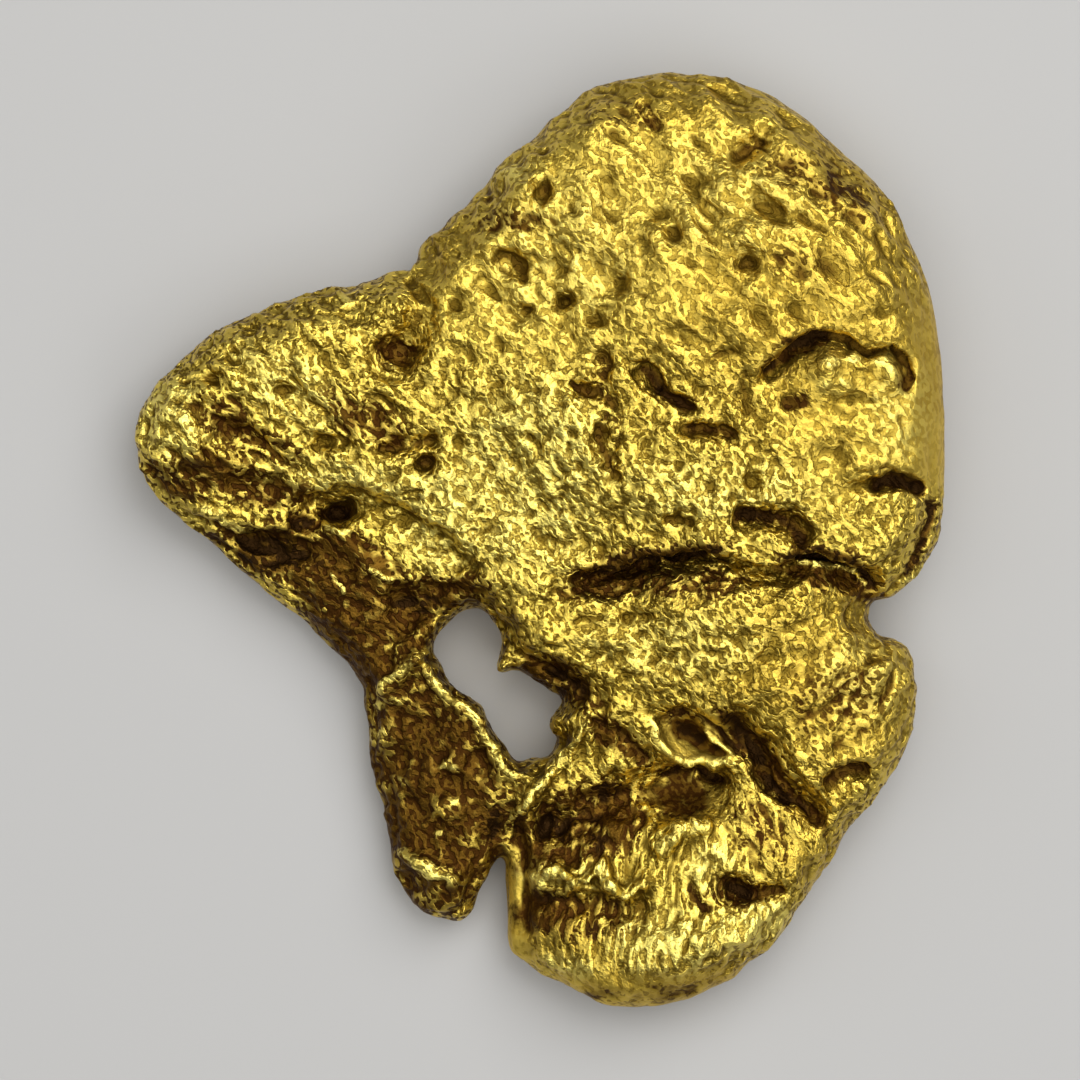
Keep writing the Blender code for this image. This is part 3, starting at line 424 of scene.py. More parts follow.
# Painted shade, near black, in the recesses and under the lips of the folds
PAINTED_SHADE = {
    "eye and trench": [
        (3.95, -4.85, 0.85, 0.26, -32, 1), (5, -4.9, 1, 0.24, -52, 1.1), (6.1, -6.4, 0.9, 0.22, -42, 0.9)],
    "waist": [
        (-6.8, -0.3, 1.4, 0.42, -10, 1.15), (-6, 0.5, 0.7, 0.24, 20, 0.8),
        (-5.05, 0.74, 0.38, 0.18, 8, 1.1), (-9.3, 1.5, 0.55, 0.18, -20, 0.9)],
    "over the foot": [
        (0.5, -7.15, 0.9, 0.62, 10, 1), (1.5, -6.35, 0.6, 0.3, 15, 0.95), (1.4, -7.35, 0.34, 0.5, 0, 0.9)],
    "round the hole": [(0.65, -3.55, 0.75, 0.36, -22, 0.95), (-3, -1.6, 0.9, 0.26, 6, 0.9)],
    "foot": [
        (1.1, -8.98, 1.3, 0.24, -4, 0.65), (1.3, -9.75, 0.5, 0.25, 0, 0.8),
        (4.9, -8.76, 0.44, 0.2, -8, 1)],
    "fold": [
        (3.2, -0.32, 1.5, 0.17, 4, 1.1), (1.5, -0.72, 0.9, 0.22, 22, 0.95),
        (5.15, 0.6, 0.46, 0.14, -2, 1.1), (6.6, -0.38, 0.8, 0.12, -4, 1), (8, -1, 0.5, 0.2, -50, 0.9)],
    "arched hollow": [(6.55, 4.92, 0.75, 0.2, 12, 1), (5.65, 4.32, 0.3, 0.12, 50, 0.8)],
    "long gash": [(3.1, 3.68, 0.66, 0.1, -33, 0.8)],
    "end of the slit": [(-1.15, -6.9, 0.3, 0.9, 0, 0.9)],
}
# Warmer, darker gold: partly the gold's own tone, partly painted shade on edges turned away from the light
WARMTH_AND_SHADE = {
    "lobe": [
        (7, 6.4, 4.4, 5.4, 20, 1), (3.6, 11, 3.4, 1.2, 0, 0.9), (-1.4, 8, 2.4, 0.9, 42, 1),
        (0.8, 7.4, 3, 2.6, 0, 0.6), (4, 4.6, 3, 1.6, 0, 0.5)],
    "upper edge of the arm": [(-6.5, 5.9, 3.2, 0.6, 20, 0.7)],
    "block": [(7, -3.2, 3.2, 2.6, 0, 1), (3.2, -2.4, 2.6, 1.6, 0, 0.5)],
    "foot": [(0.4, -9.9, 1.8, 1.2, 0, 0.9), (3.4, -11, 3.4, 0.9, 12, 1), (6.8, -7.6, 1.6, 1.8, -30, 0.7)],
    "leg": [(-3, -6.2, 2.2, 3.8, 8, 0.9)],
}
# Paler gold: partly wear, partly painted highlight
WORN_AND_LIT = {
    "arm": [(-9.2, 3, 0.8, 1, 0, 1), (-6.4, 3.9, 1.6, 0.8, -35, 0.7), (-4.6, 1.4, 1.9, 0.5, -8, 0.9)],
    "middle": [(-2.4, 0.6, 1.1, 1.3, 0, 1), (-0.2, 1.6, 1.9, 2.4, 0, 0.9)],
    "lobe": [
        (4, 1.2, 2.6, 0.8, 0, 0.6), (8.9, 3.2, 0.8, 1.3, 0, 0.35), (0.4, 7.2, 2, 2, 0, 0.35),
        (4.6, 8.4, 2.2, 1.4, 0, 0.25)],
    "foot": [
        (3, -10, 1.3, 0.8, 0, 1.2), (5.2, -9.6, 1.2, 0.6, 25, 1), (0.8, -10.6, 0.7, 0.3, 0, 0.9),
        (4.1, -8.1, 0.6, 0.4, 40, 1), (0.9, -8.4, 1.5, 0.28, -6, 1)],
    "block": [(8, -3.4, 1.1, 1.1, 0, 0.3), (3.2, -2.6, 2.2, 0.8, 0, 0.55)],
}
STROKED = (3.4, -9, 4.4, 2.6, 6)  # the fine grain is long and upright here

COLOUR = {"subtype": "COLOR", "size": 4, "min": 0, "max": 1}


class NuggetSurfaceSettings(bpy.types.PropertyGroup):
    """Sizes of the grain and the mesh that carries it. Lengths are millimetres."""

    mesh_size: bpy.props.FloatProperty(
        name="Mesh size", description="Edge of the fine mesh, in millimetres", default=0.07, min=0.05
    )
    softening: bpy.props.IntProperty(
        name="Softening", description="Passes that take the facets off the plain solid", default=10, min=0
    )
    grain_scale: bpy.props.FloatProperty(
        name="Grain scale", description="Width of all grain against its own", default=1.0, min=0.2
    )
    grain_height: bpy.props.FloatProperty(
        name="Grain height", description="Height of all grain against its own", default=1.0, min=0
    )
    swell_height: bpy.props.FloatProperty(
        name="Swell height", description="Height of the lumps under the grain", default=1.0, min=0
    )
    crease_depth: bpy.props.FloatProperty(
        name="Crease depth", description="Depth of all creases against their own", default=0.4, min=0
    )
    ridge_height: bpy.props.FloatProperty(
        name="Ridge height", description="Height of all ridges against their own", default=0.8, min=0
    )
    pit_depth: bpy.props.FloatProperty(
        name="Pit depth", description="Depth of all pits and knobs against their own", default=0.5, min=0
    )
    underside_share: bpy.props.FloatProperty(
        name="Underside share", description="Share of the underside's faces that are kept", default=0.12,
        min=0.02, max=1.0, subtype="FACTOR"
    )
    most_triangles: bpy.props.IntProperty(
        name="Most triangles", description="Triangles of the finished mesh", default=195000, min=10000
    )


class NuggetFinishSettings(bpy.types.PropertyGroup):
    """Colours and gloss of the native gold."""

    # pale tops of the grains: partly wear, partly painted highlight
    pale_gold: bpy.props.FloatVectorProperty(
        name="Pale gold", description="Worn tops of the grains", default=(1.0, 0.835, 0.195, 1), **COLOUR
    )
    gold: bpy.props.FloatVectorProperty(
        name="Gold", description="The body of the gold", default=(0.80, 0.58, 0.088, 1), **COLOUR
    )
    # warmer gold, partly painted shade on the sides and edges turned away
    warm_shade_gold: bpy.props.FloatVectorProperty(
        name="Warm gold", description="Where the gold is warmer", default=(0.55, 0.362, 0.042, 1), **COLOUR
    )
    # painted shade between the grains
    gap_shade_gold: bpy.props.FloatVectorProperty(
        name="Deep gold", description="Between the grains", default=(0.175, 0.112, 0.011, 1), **COLOUR
    )
    # brown film, also painted as shade on the darker parts of the nugget
    film: bpy.props.FloatVectorProperty(
        name="Film", description="Brown film in the hollows", default=(0.058, 0.023, 0.004, 1), **COLOUR
    )
    # tops of the grains within the film and the painted shade
    tops_in_film_and_shade: bpy.props.FloatVectorProperty(
        name="Filmed tops", description="Grains under the film", default=(0.135, 0.068, 0.0085, 1), **COLOUR
    )
    # painted shade at the bottom of the creases and in the recesses
    painted_shade: bpy.props.FloatVectorProperty(
        name="Dirt", description="Dark bottom of the creases", default=(0.030, 0.014, 0.004, 1), **COLOUR
    )
    roughness: bpy.props.FloatProperty(
        name="Roughness", description="Of the worn gold", default=0.34, min=0, max=1, subtype="FACTOR"
    )
    micro_grain: bpy.props.FloatProperty(
        name="Micro grain", description="Width of the finest grain", default=0.000108, min=0.00002,
        unit="LENGTH"
    )
    micro_height: bpy.props.FloatProperty(
        name="Micro height", description="Height of the finest grain", default=0.000027, min=0, unit="LENGTH"
    )


class StudioSettings(bpy.types.PropertyGroup):
    """Floor, lights and camera. Powers are watts."""

    floor_colour: bpy.props.FloatVectorProperty(
        name="Floor", description="Colour of the plain floor", default=(0.42, 0.415, 0.405, 1), **COLOUR
    )
    floor_radius: bpy.props.FloatProperty(
        name="Floor radius", description="Radius of the floor", default=1.2, min=0.1, unit="LENGTH"
    )
    sky: bpy.props.FloatProperty(name="Sky", description="Brightness of the dim room", default=0.16, min=0)
    key_power: bpy.props.FloatProperty(
        name="Key power", description="Power of the main softbox", default=0.52, min=0
    )
    top_power: bpy.props.FloatProperty(
        name="Top power", description="Power of the softbox overhead", default=1.62, min=0
    )
    fill_power: bpy.props.FloatProperty(
        name="Fill power", description="Power of the small softbox at the foot", default=0.09, min=0
    )
    side_power: bpy.props.FloatProperty(
        name="Side power", description="Power of the softbox at the arm", default=0.12, min=0
    )
    lens: bpy.props.FloatProperty(
        name="Lens", description="Focal length of the camera, in millimetres", default=200.0, min=20, max=400
    )
    view_width: bpy.props.FloatProperty(
        name="View width", description="Width of the picture at the rim of the nugget", default=0.027,
        min=0.01, unit="LENGTH"
    )


# Mesh helpers


def deselect_all():
    for obj in bpy.context.view_layer.objects:
        obj.select_set(False)


def make_active(obj):
    deselect_all()
    obj.select_set(True)
    bpy.context.view_layer.objects.active = obj


def apply_modifier(obj, modifier):
    make_active(obj)
    bpy.ops.object.modifier_apply(modifier=modifier.name)


def scale_mesh(obj, factor):
    """Scales the mesh about the origin and leaves the object unscaled."""
    make_active(obj)
    obj.scale = (factor,) * 3
    bpy.ops.object.transform_apply(location=True, rotation=True, scale=True)


def copy_of_node(name):
    """A merged copy of a CAD node, in millimetres, at the origin and unturned."""
    make_active(frame["nodes"][name])
    bpy.ops.object.duplicate()
    piece = bpy.context.view_layer.objects.active
    world = piece.matrix_world.copy()
    piece.parent = None
    piece.matrix_world = world
    bpy.ops.object.transform_apply(location=True, rotation=True, scale=True)
    scale_mesh(piece, MM_PER_M)
    bpy.ops.object.mode_set(mode="EDIT")
    bpy.ops.mesh.select_all(action="SELECT")
    bpy.ops.mesh.remove_doubles(threshold=WELD_MM)
    bpy.ops.object.mode_set(mode="OBJECT")
    return piece


def vertex_array(mesh, attribute):
    """The places or the normals of the mesh's points, one to a row."""
    flat = np.empty(len(mesh.vertices) * 3)
    mesh.vertices.foreach_get(attribute, flat)
    return flat.reshape(-1, 3)


def edge_array(mesh):
    flat = np.empty(len(mesh.edges) * 2, dtype=np.int64)
    mesh.edges.foreach_get("vertices", flat)
    return flat.reshape(-1, 2)


def averaged(values, edges, passes):
    """The values with each one blended with its neighbours', over and over."""
    ends = np.concatenate([edges[:, 0], edges[:, 1]])
    others = np.concatenate([edges[:, 1], edges[:, 0]])
    count = np.maximum(np.bincount(ends, minlength=len(values)), 1)
    for _ in range(passes):
        around = np.bincount(ends, weights=values[others], minlength=len(values)) / count
        values = (values + around) / 2
    return values


# Relief helpers


def smoothstep(value):
    value = np.clip(value, 0, 1)
    return value * value * (3 - 2 * value)


def rising(values, start, reach):
    """0 up to the start and 1 from a reach past it."""
    return smoothstep((values - start) / reach)


def fading_ends(place):
    """1 along a line, down to 0 at each of its ends."""
    return smoothstep(np.minimum(place, 1 - place) / END_FADE)


def runs_of(points):
    """The runs between a path's points, their lengths, and how far along it each point is."""
    runs = np.diff(np.array(points), axis=0)
    lengths = np.hypot(*runs.T)
    return runs, lengths, np.concatenate([[0], np.cumsum(lengths)])


def along_path(xy, points):
    """Each point's distance to an open path, its place along it from 0 to 1, and +1 on its left."""
    runs, lengths, starts = runs_of(points)
    best = np.full(len(xy), np.inf)
    place = np.zeros(len(xy))
    side = np.ones(len(xy))
    for start, run, length, before in zip(points, runs, lengths, starts):
        offset = xy - start
        share = np.clip(offset @ run / length**2, 0, 1)
        gap = np.hypot(*(offset - share[:, None] * run).T)
        nearer = gap < best
        best[nearer] = gap[nearer]
        place[nearer] = (before + share[nearer] * length) / starts[-1]
        cross = run[0] * offset[:, 1] - run[1] * offset[:, 0]
        side[nearer] = np.sign(cross[nearer])
    return best, place, side


def lumps(points, size, seed):
    """Soft lumps between about -1 and 1, this many millimetres across."""
    shift = Vector((17.3 * seed, 5.1, 9.7 * seed))
    return np.array([noise.noise(Vector(point) + shift) for point in points / size]) * NOISE_GAIN


def flat_lumps(xy, size, seed):
    """Lumps that are the same at every height."""
    return lumps(np.column_stack([xy, np.zeros(len(xy))]), size, seed)


def beads(points, size, seed):
    """Round grains this many millimetres across: about 1 on top of each, -0.6 between them."""
    shift = Vector((3.1 * seed, 8.3 * seed, 1.7))
    basis = "VORONOI_F1"
    return np.array([-noise.noise(Vector(point) + shift, noise_basis=basis) for point in points / size])


def turned(xy, x, y, degrees):
    """The points about a place, in axes turned by this much."""
    turn = math.radians(degrees)
    east, north = xy[:, 0] - x, xy[:, 1] - y
    return (
        east * math.cos(turn) + north * math.sin(turn),
        north * math.cos(turn) - east * math.sin(turn),
    )


def spot(xy, x, y, half_width, half_height, degrees=0):
    """1 in the middle of an oval, falling off softly to 0."""
    along, across = turned(xy, x, y, degrees)
    return np.exp(-((along / half_width) ** 2 + (across / half_height) ** 2))


def patch(xy, x, y, half_width, half_height, degrees):
    """1 all over an oval, falling off to 0 at its edge."""
    along, across = turned(xy, x, y, degrees)
    return np.exp(-(((along / half_width) ** 2 + (across / half_height) ** 2) ** 2))


def all_of(table):
    """All lines or places of a table, whatever they are listed under."""
    return [item for items in table.values() for item in items]


def grain_axes(points, stretch, degrees):
    """The points in axes along the grain, shortened along it, so that noise on them comes out long."""
    along, across = turned(points[:, :2], 0, 0, degrees)
    return np.stack([along / stretch, across, points[:, 2]], axis=1)


def crests(drawn, size, seed, across, step, height, slope):
    """Long crests, each as wide as this many grains."""
    return height - slope * np.abs(lumps(drawn, size * across, seed + step))


def chained_grains(drawn, size, chains, seed):
    """Rounded grains with flat tops and flat gaps between them, a share of them strung in chains."""
    bend = np.stack([lumps(drawn, size * BEND_SIZE, seed + step) for step in BEND_SEEDS], axis=1)
    drawn = drawn + GRAIN_BEND * size * bend
    loose = (1 - LOOSE_LOSS * chains) * beads(drawn, size, seed)
    strung = STRING_SHARE * chains * crests(drawn, size, seed, *STRINGS)
    return np.tanh(FLATNESS * (loose + strung) - SINKING)


def swells(drawn, size, seed):
    """Low lumps, long crests and dips, a few grains across."""
    low = LUMP_SHARE * lumps(drawn, size * LUMP_SIZE, seed)
    dips = rising(lumps(drawn, size * DIP_SIZE, seed + DIP_SEED), *DIP_RANGE)
    return low + CREST_SHARE * crests(drawn, size, seed, *LONG_CRESTS) - DIP_SHARE * dips


def grain_weights(xy):
    """How much of each kind of grain there is at each point."""
    weights = np.stack([spot(xy, *kind[:4]) ** KIND_SHARPNESS + 1e-9 for kind in GRAINS.values()])
    return weights / weights.sum(axis=0)


def grain_relief(points, settings):
    """The grain and the swells all over, each kind strongest at its own place."""
    relief = np.zeros(len(points))
    for seed, (kind, weight) in enumerate(zip(GRAINS.values(), grain_weights(points[:, :2]))):
        size, stretch, degrees, height, chains, swell = kind[4:]
        here = np.flatnonzero(weight > GRAIN_EDGE)
        drawn = grain_axes(points[here], stretch, degrees)
        size *= settings.grain_scale
        grains = settings.grain_height * height * chained_grains(drawn, size, chains, seed)
        swelling = settings.swell_height * swell * swells(drawn, size, seed)
        relief[here] += weight[here] * (grains + swelling)
    return relief


def uneven(xy, size, seed, amount):
    """A factor round 1 that changes slowly from place to place."""
    return np.clip(1 + amount * flat_lumps(xy, size, seed), *UNEVEN_LIMITS)


def crease_relief(xy, settings):
    """Creases and ridges of uneven depth and width, whose ends run out."""
    relief = np.zeros(len(xy))
    deep = uneven(xy, *CREASE_DEPTHS)
    knobs = uneven(xy, *RIDGE_KNOBS) - 1
    broad = uneven(xy, *LINE_WIDTHS)
    for half_width, height, points in all_of(CREASES):
        gap, place, _ = along_path(xy, points)
        knobbly = 1 + knobs * min(1, half_width / BROAD_RIDGE) ** 2
        rise = settings.crease_depth * deep if height < 0 else settings.ridge_height * knobbly
        profile = np.exp(-((gap / (half_width * broad)) ** LINE_PROFILE))
        relief += rise * height * profile * fading_ends(place)
    return relief


def dot_relief(xy):
    """Small pits and knobs."""
    relief = np.zeros(len(xy))
    for *place, height in all_of(DOTS):
        relief += height * spot(xy, *place)
    return relief


def wander(xy):
    """The places moved about a little, so that no line on the nugget is drawn with a ruler."""
    for amount, size in WANDERINGS:
        xy = xy + amount * np.stack([flat_lumps(xy, size, seed) for seed in WANDER_SEEDS], axis=1)
    return xy


def overhang_shift(xy):
    """How far the lips of the folds lean out over what is below them."""
    shift = np.zeros_like(xy)
    for reach_out, reach, points in OVERHANGS.values():
        gap, place, side = along_path(xy, points)
        lean = reach_out * np.exp(-((gap / reach) ** 2)) * fading_ends(place)
        runs, lengths, starts = runs_of(points)
        middles = (starts[:-1] + starts[1:]) / 2 / starts[-1]
        units = runs / lengths[:, None]
        east = np.interp(place, middles, units[:, 1])
        north = np.interp(place, middles, -units[:, 0])
        shift += np.where(side > 0, lean, 0)[:, None] * np.stack([east, north], axis=1)
    return shift


def make_surface(piece, settings):
    """Moves the fine mesh by the whole relief, in millimetres."""
    mesh = piece.data
    points = vertex_array(mesh, "co")
    normals = vertex_array(mesh, "normal")
    xy = wander(points[:, :2])
    upward = rising(normals[:, 2], *CARVED)
    carved = (crease_relief(xy, settings) + dot_relief(xy) * settings.pit_depth) * upward
    sides = SIDE_GRAIN + (1 - SIDE_GRAIN) * upward
    relief = carved + grain_relief(points, settings) * sides
    moved = points + normals * relief[:, None]
    moved[:, :2] += overhang_shift(points[:, :2]) * upward[:, None]
    moved[:, 2] = np.where(points[:, 2] < FLOOR_CONTACT, 0, np.maximum(moved[:, 2], 0))
    mesh.vertices.foreach_set("co", moved.ravel())
    mesh.update()


def store(mesh, name, values):
    """Keeps a value for each point in an attribute that the material reads."""
    attribute = mesh.attributes.new(name, "FLOAT", "POINT")
    attribute.data.foreach_set("value", np.clip(values, 0, 1).astype(np.float32))


def crease_marks(xy):
    """How dark the creases and pits are painted as shade, and how bright the crests of the ridges and the
    knobs are painted as highlight.
    """
    dark = np.zeros(len(xy))
    bright = np.zeros(len(xy))
    thick = uneven(xy, *PAINTED_SHADE_WIDTHS)
    for half_width, height, points in all_of(CREASES):
        gap, place, _ = along_path(xy, points)
        if height < 0:
            line = np.exp(-((gap / (half_width * PAINTED_SHADE_WIDTH * thick)) ** 2)) * fading_ends(place)
            dark = np.maximum(dark, line * min(1, -height / FULL_PAINTED_SHADE) ** 2)
        else:
            line = np.exp(-((gap / (half_width * SHINE_WIDTH)) ** 2)) * fading_ends(place)
            bright = np.maximum(bright, line * np.sqrt(thick))
    for *place, height in all_of(DOTS):
        if height < 0:
            dark = np.maximum(dark, spot(xy, *place) * min(1, -height / FULL_PAINTED_SHADE) ** 2 * thick)
        else:
            bright = np.maximum(bright, spot(xy, *place) * min(1, height / FULL_KNOB) * thick)
    return dark, bright


def mark_colours(piece):
    """Stores where the gold is brown-filmed and painted in shade, warmer and painted darker, rubbed and
    painted bright, rough with grain, or painted dark in its creases.
    """
    points = vertex_array(piece.data, "co")
    normals = vertex_array(piece.data, "normal")
    xy = points[:, :2]
    upward = rising(normals[:, 2], *COLOURED)
    patchy = uneven(xy, *BROAD_PATCHES) * uneven(xy, *SMALL_PATCHES) * upward
    bent = wander(xy)
    dark, bright = crease_marks(bent)
    cover = {}
    for name, table in (("film", FILM_AND_SHADE), ("painted_shade", PAINTED_SHADE), ("warmth", WARMTH_AND_SHADE), ("worn", WORN_AND_LIT)):
        cover[name] = np.zeros(len(points))
        for *place, strength in all_of(table):
            cover[name] = np.maximum(cover[name], strength * patch(bent, *place) * patchy)
    # Painted shade, in the film colour and warmer gold, on the sides that turn down
    rim = rising(-normals[:, 2], *RIM) * uneven(xy, *RIM_PATCHES)
    bright = np.minimum(bright, 1)
    store(piece.data, "film", np.maximum(cover["film"], RIM_FILM_AND_SHADE * rim) * (1 - bright))
    store(piece.data, "warmth", np.maximum(cover["warmth"], RIM_WARMTH_AND_SHADE * rim))
    store(piece.data, "worn", np.maximum(cover["worn"], bright))
    store(piece.data, "strokes", patch(bent, *STROKED))
    # the painted shade of the creases, pits and recesses
    store(piece.data, "crease", np.maximum(cover["painted_shade"], dark * upward) * (1 - bright))
    heights = np.array([kind[7] for kind in GRAINS.values()])
    sides = SIDE_GRAIN + (1 - SIDE_GRAIN) * upward
    store(piece.data, "grain", heights @ grain_weights(xy) / FULL_GRAIN * sides)


def depth_below(piece, passes, full_depth):
    """How deep each point lies under its surroundings: 0.5 where level, 1 where fully hollow."""
    mesh = piece.data
    points = vertex_array(mesh, "co")
    edges = edge_array(mesh)
    around = np.stack([averaged(points[:, axis], edges, passes) for axis in range(3)], axis=1)
    return 0.5 + 0.5 * np.einsum("ij,ij->i", around - points, vertex_array(mesh, "normal")) / full_depth


def thin_underside(piece, share):
    """Fewer faces where nobody looks closely."""
    normals = vertex_array(piece.data, "normal")
    group = piece.vertex_groups.new(name="underside")
    below = np.flatnonzero(normals[:, 2] < -UNDERSIDE_Z)
    group.add([int(index) for index in below], 1.0, "REPLACE")
    make_active(piece)
    bpy.ops.object.mode_set(mode="EDIT")
    bpy.ops.mesh.select_mode(type="VERT")
    bpy.ops.mesh.select_all(action="DESELECT")
    piece.vertex_groups.active = group
    bpy.ops.object.vertex_group_select()
    bpy.ops.mesh.decimate(ratio=share)
    bpy.ops.object.mode_set(mode="OBJECT")
    piece.vertex_groups.clear()


def thin_to(piece, most):
    """Fewer faces where the mesh is flattest, until it has no more triangles than this."""
    count = sum(len(face.vertices) - 2 for face in piece.data.polygons)
    thin = piece.modifiers.new("fewer faces", "DECIMATE")
    thin.ratio = min(1, most / count)
    apply_modifier(piece, thin)


# Material helpers


def node(tree, kind, **inputs):
    """A shader node in the next place left of the shader, with its sockets set by name."""
    column, row = divmod(len(tree.nodes), NODE_GRID[1])
    made = tree.nodes.new(kind)
    made.location = ((column - NODE_GRID[0]) * NODE_SPACE[0], -row * NODE_SPACE[1])
    for name, value in inputs.items():
        made.inputs[name].default_value = value
    return made


def attribute_value(tree, name):
    """The output of a vertex attribute's value."""
    made = node(tree, "ShaderNodeAttribute")
    made.attribute_name = name
    return made.outputs["Fac"]


def feed(tree, socket, value):
    """Links an output to a socket, or sets it to a number or a colour."""
    if isinstance(value, bpy.types.NodeSocket):
        tree.links.new(value, socket)
    else:
        socket.default_value = value


def maths(tree, kind, *values):
    """A Math node on numbers and outputs."""
    made = node(tree, "ShaderNodeMath")
    made.operation = kind
    made.use_clamp = True
    for socket, value in zip(made.inputs, values):
        feed(tree, socket, value)
    return made.outputs["Value"]


def eased(tree, value, start, end):
    """0 at the start, 1 at the end, smooth in between."""
    made = node(tree, "ShaderNodeMapRange", **{"From Min": start, "From Max": end})
    made.interpolation_type = "SMOOTHSTEP"
    tree.links.new(value, made.inputs["Value"])
    return made.outputs["Result"]


def mixed(tree, factor, first, second):
    """A mix of two colours, each a colour or an output, by a factor's output."""
    made = node(tree, "ShaderNodeMix")
    made.data_type = "RGBA"
    tree.links.new(factor, made.inputs["Factor"])
    for name, colour in (("A", first), ("B", second)):
        feed(tree, next(item for item in made.inputs if item.name == name and item.type == "RGBA"), colour)
    return next(item for item in made.outputs if item.type == "RGBA")


def noise_value(tree, place, scale, detail, output="Fac"):
    """The output of a noise texture with this many waves a metre."""
    made = node(tree, "ShaderNodeTexNoise", Scale=scale, Detail=detail)
    tree.links.new(place, made.inputs["Vector"])
    return made.outputs[output]


def blobs(tree, place, scale, degrees, stretch):
    """Small blobs and chains of blobs from 0 to 1, this many a metre, stretched along one direction."""
    along = node(tree, "ShaderNodeMapping", Rotation=(0, 0, math.radians(degrees)), Scale=stretch)
    along.vector_type = "TEXTURE"
    tree.links.new(place, along.inputs["Vector"])
    return eased(tree, noise_value(tree, along.outputs["Vector"], scale, 0.0), *BLOB)


def micro_grain(tree, size, strokes):
    """The finest grain, as a height from 0 in its gaps to 1 on top: rounded blobs with specks."""
    place = node(tree, "ShaderNodeTexCoord").outputs["Object"]
    bend = noise_value(tree, place, BEND_WAVES / size, 1.0, "Color")
    shift = node(tree, "ShaderNodeVectorMath")
    shift.operation = "MULTIPLY_ADD"
    for socket, value in zip(shift.inputs, (bend, (BEND_REACH * size,) * 3, place)):
        feed(tree, socket, value)
    bent = shift.outputs["Vector"]
    slanting = blobs(tree, bent, BLOB_WAVES / size, *SLANTING)
    upright = blobs(tree, bent, BLOB_WAVES / size, *UPRIGHT)
    speckled = eased(tree, noise_value(tree, place, SPECK_WAVES / size, 1.0), *SPECK)
    specks = maths(tree, "MULTIPLY", speckled, SPECK_SHARE)
    chosen = node(tree, "ShaderNodeMix")
    for name, value in (("Factor", strokes), ("A", slanting), ("B", upright)):
        tree.links.new(value, chosen.inputs[name])
    return maths(tree, "MULTIPLY_ADD", chosen.outputs["Result"], BLOB_SHARE, specks)


def native_gold(colours):
    """Native gold with wear: pale grain tops, partly wear and partly painted highlight, deeper gold between
    them as painted shade, brown-filmed patches that are partly painted shade, and painted shade in the
    creases.
    """
    material = bpy.data.materials.new("native gold")
    material.use_nodes = True
    tree = material.node_tree
    link = tree.links.new
    shader = tree.nodes["Principled BSDF"]
    shader.inputs["Metallic"].default_value = 1.0
    marks = {name: attribute_value(tree, name) for name in MARKS}
    height = micro_grain(tree, colours.micro_grain, marks["strokes"])
    # Painted shade between the finest grains and between the larger ones, less where worn and painted bright
    dark_gaps = maths(tree, "MULTIPLY_ADD", marks["worn"], WORN_AND_LIT_GAPS, marks["grain"])
    between_beads = maths(tree, "MULTIPLY", eased(tree, height, *LOW_BEADS), dark_gaps)
    between = maths(tree, "MAXIMUM", between_beads, eased(tree, marks["gap"], *GRAIN_GAPS))
    # Painted highlight: pale gold on the tops of the grains, more where worn and painted bright
    tops = eased(tree, marks["gap"], *GRAIN_TOPS)
    high = maths(tree, "MULTIPLY_ADD", tops, TOPS_SHARE, eased(tree, height, *HIGH_BEADS))
    shine = maths(tree, "MULTIPLY_ADD", marks["worn"], *SHINE)
    # Warmer gold, partly painted shade
    body = mixed(tree, marks["warmth"], colours.gold, colours.warm_shade_gold)
    body = mixed(tree, maths(tree, "MULTIPLY", marks["worn"], WORN_AND_LIT_BODY), body, colours.pale_gold)
    lit = mixed(tree, maths(tree, "MULTIPLY", high, shine), body, colours.pale_gold)
    # Deeper gold as painted shade between the grains
    grained = mixed(tree, between, lit, colours.gap_shade_gold)
    # Brown film and painted shade in the hollows, the filmed places and the gaps
    sunk = maths(tree, "MULTIPLY", eased(tree, marks["hollow"], *SUNK), SUNK_FILM_AND_SHADE)
    cover = maths(tree, "MAXIMUM", maths(tree, "MAXIMUM", marks["film"], sunk), marks["crease"])
    covered = eased(tree, maths(tree, "MULTIPLY_ADD", between, GAP_FILM_AND_SHADE, cover), *COVERED)
    film = mixed(tree, high, colours.film, colours.tops_in_film_and_shade)
    with_film_and_shade = mixed(tree, covered, grained, film)
    # Painted shade, near black, in the creases, pits and recesses, and deep between the grains
    crease_shading = maths(tree, "MULTIPLY", marks["crease"], CREASE_PAINTED_SHADE)
    shaded = eased(tree, maths(tree, "MULTIPLY_ADD", between, GAP_PAINTED_SHADE, crease_shading), *SHADED)
    link(mixed(tree, shaded, with_film_and_shade, colours.painted_shade), shader.inputs["Base Color"])
    dull = maths(tree, "MULTIPLY_ADD", marks["grain"], -SMOOTH_DULL, colours.roughness + SMOOTH_DULL)
    dull = maths(tree, "MULTIPLY_ADD", between, DIRTY_DULL, dull)
    link(maths(tree, "MULTIPLY_ADD", covered, DIRTY_DULL, dull), shader.inputs["Roughness"])
    bump = node(tree, "ShaderNodeBump", Distance=colours.micro_height)
    link(maths(tree, "MULTIPLY_ADD", marks["grain"], *BUMP), bump.inputs["Strength"])
    link(height, bump.inputs["Height"])
    link(bump.outputs["Normal"], shader.inputs["Normal"])
    return material


def plain_material(name, colour, roughness):
    material = bpy.data.materials.new(name)
    material.use_nodes = True
    shader = material.node_tree.nodes["Principled BSDF"]
    shader.inputs["Base Color"].default_value = colour
    shader.inputs["Roughness"].default_value = roughness
    return material


# Operators


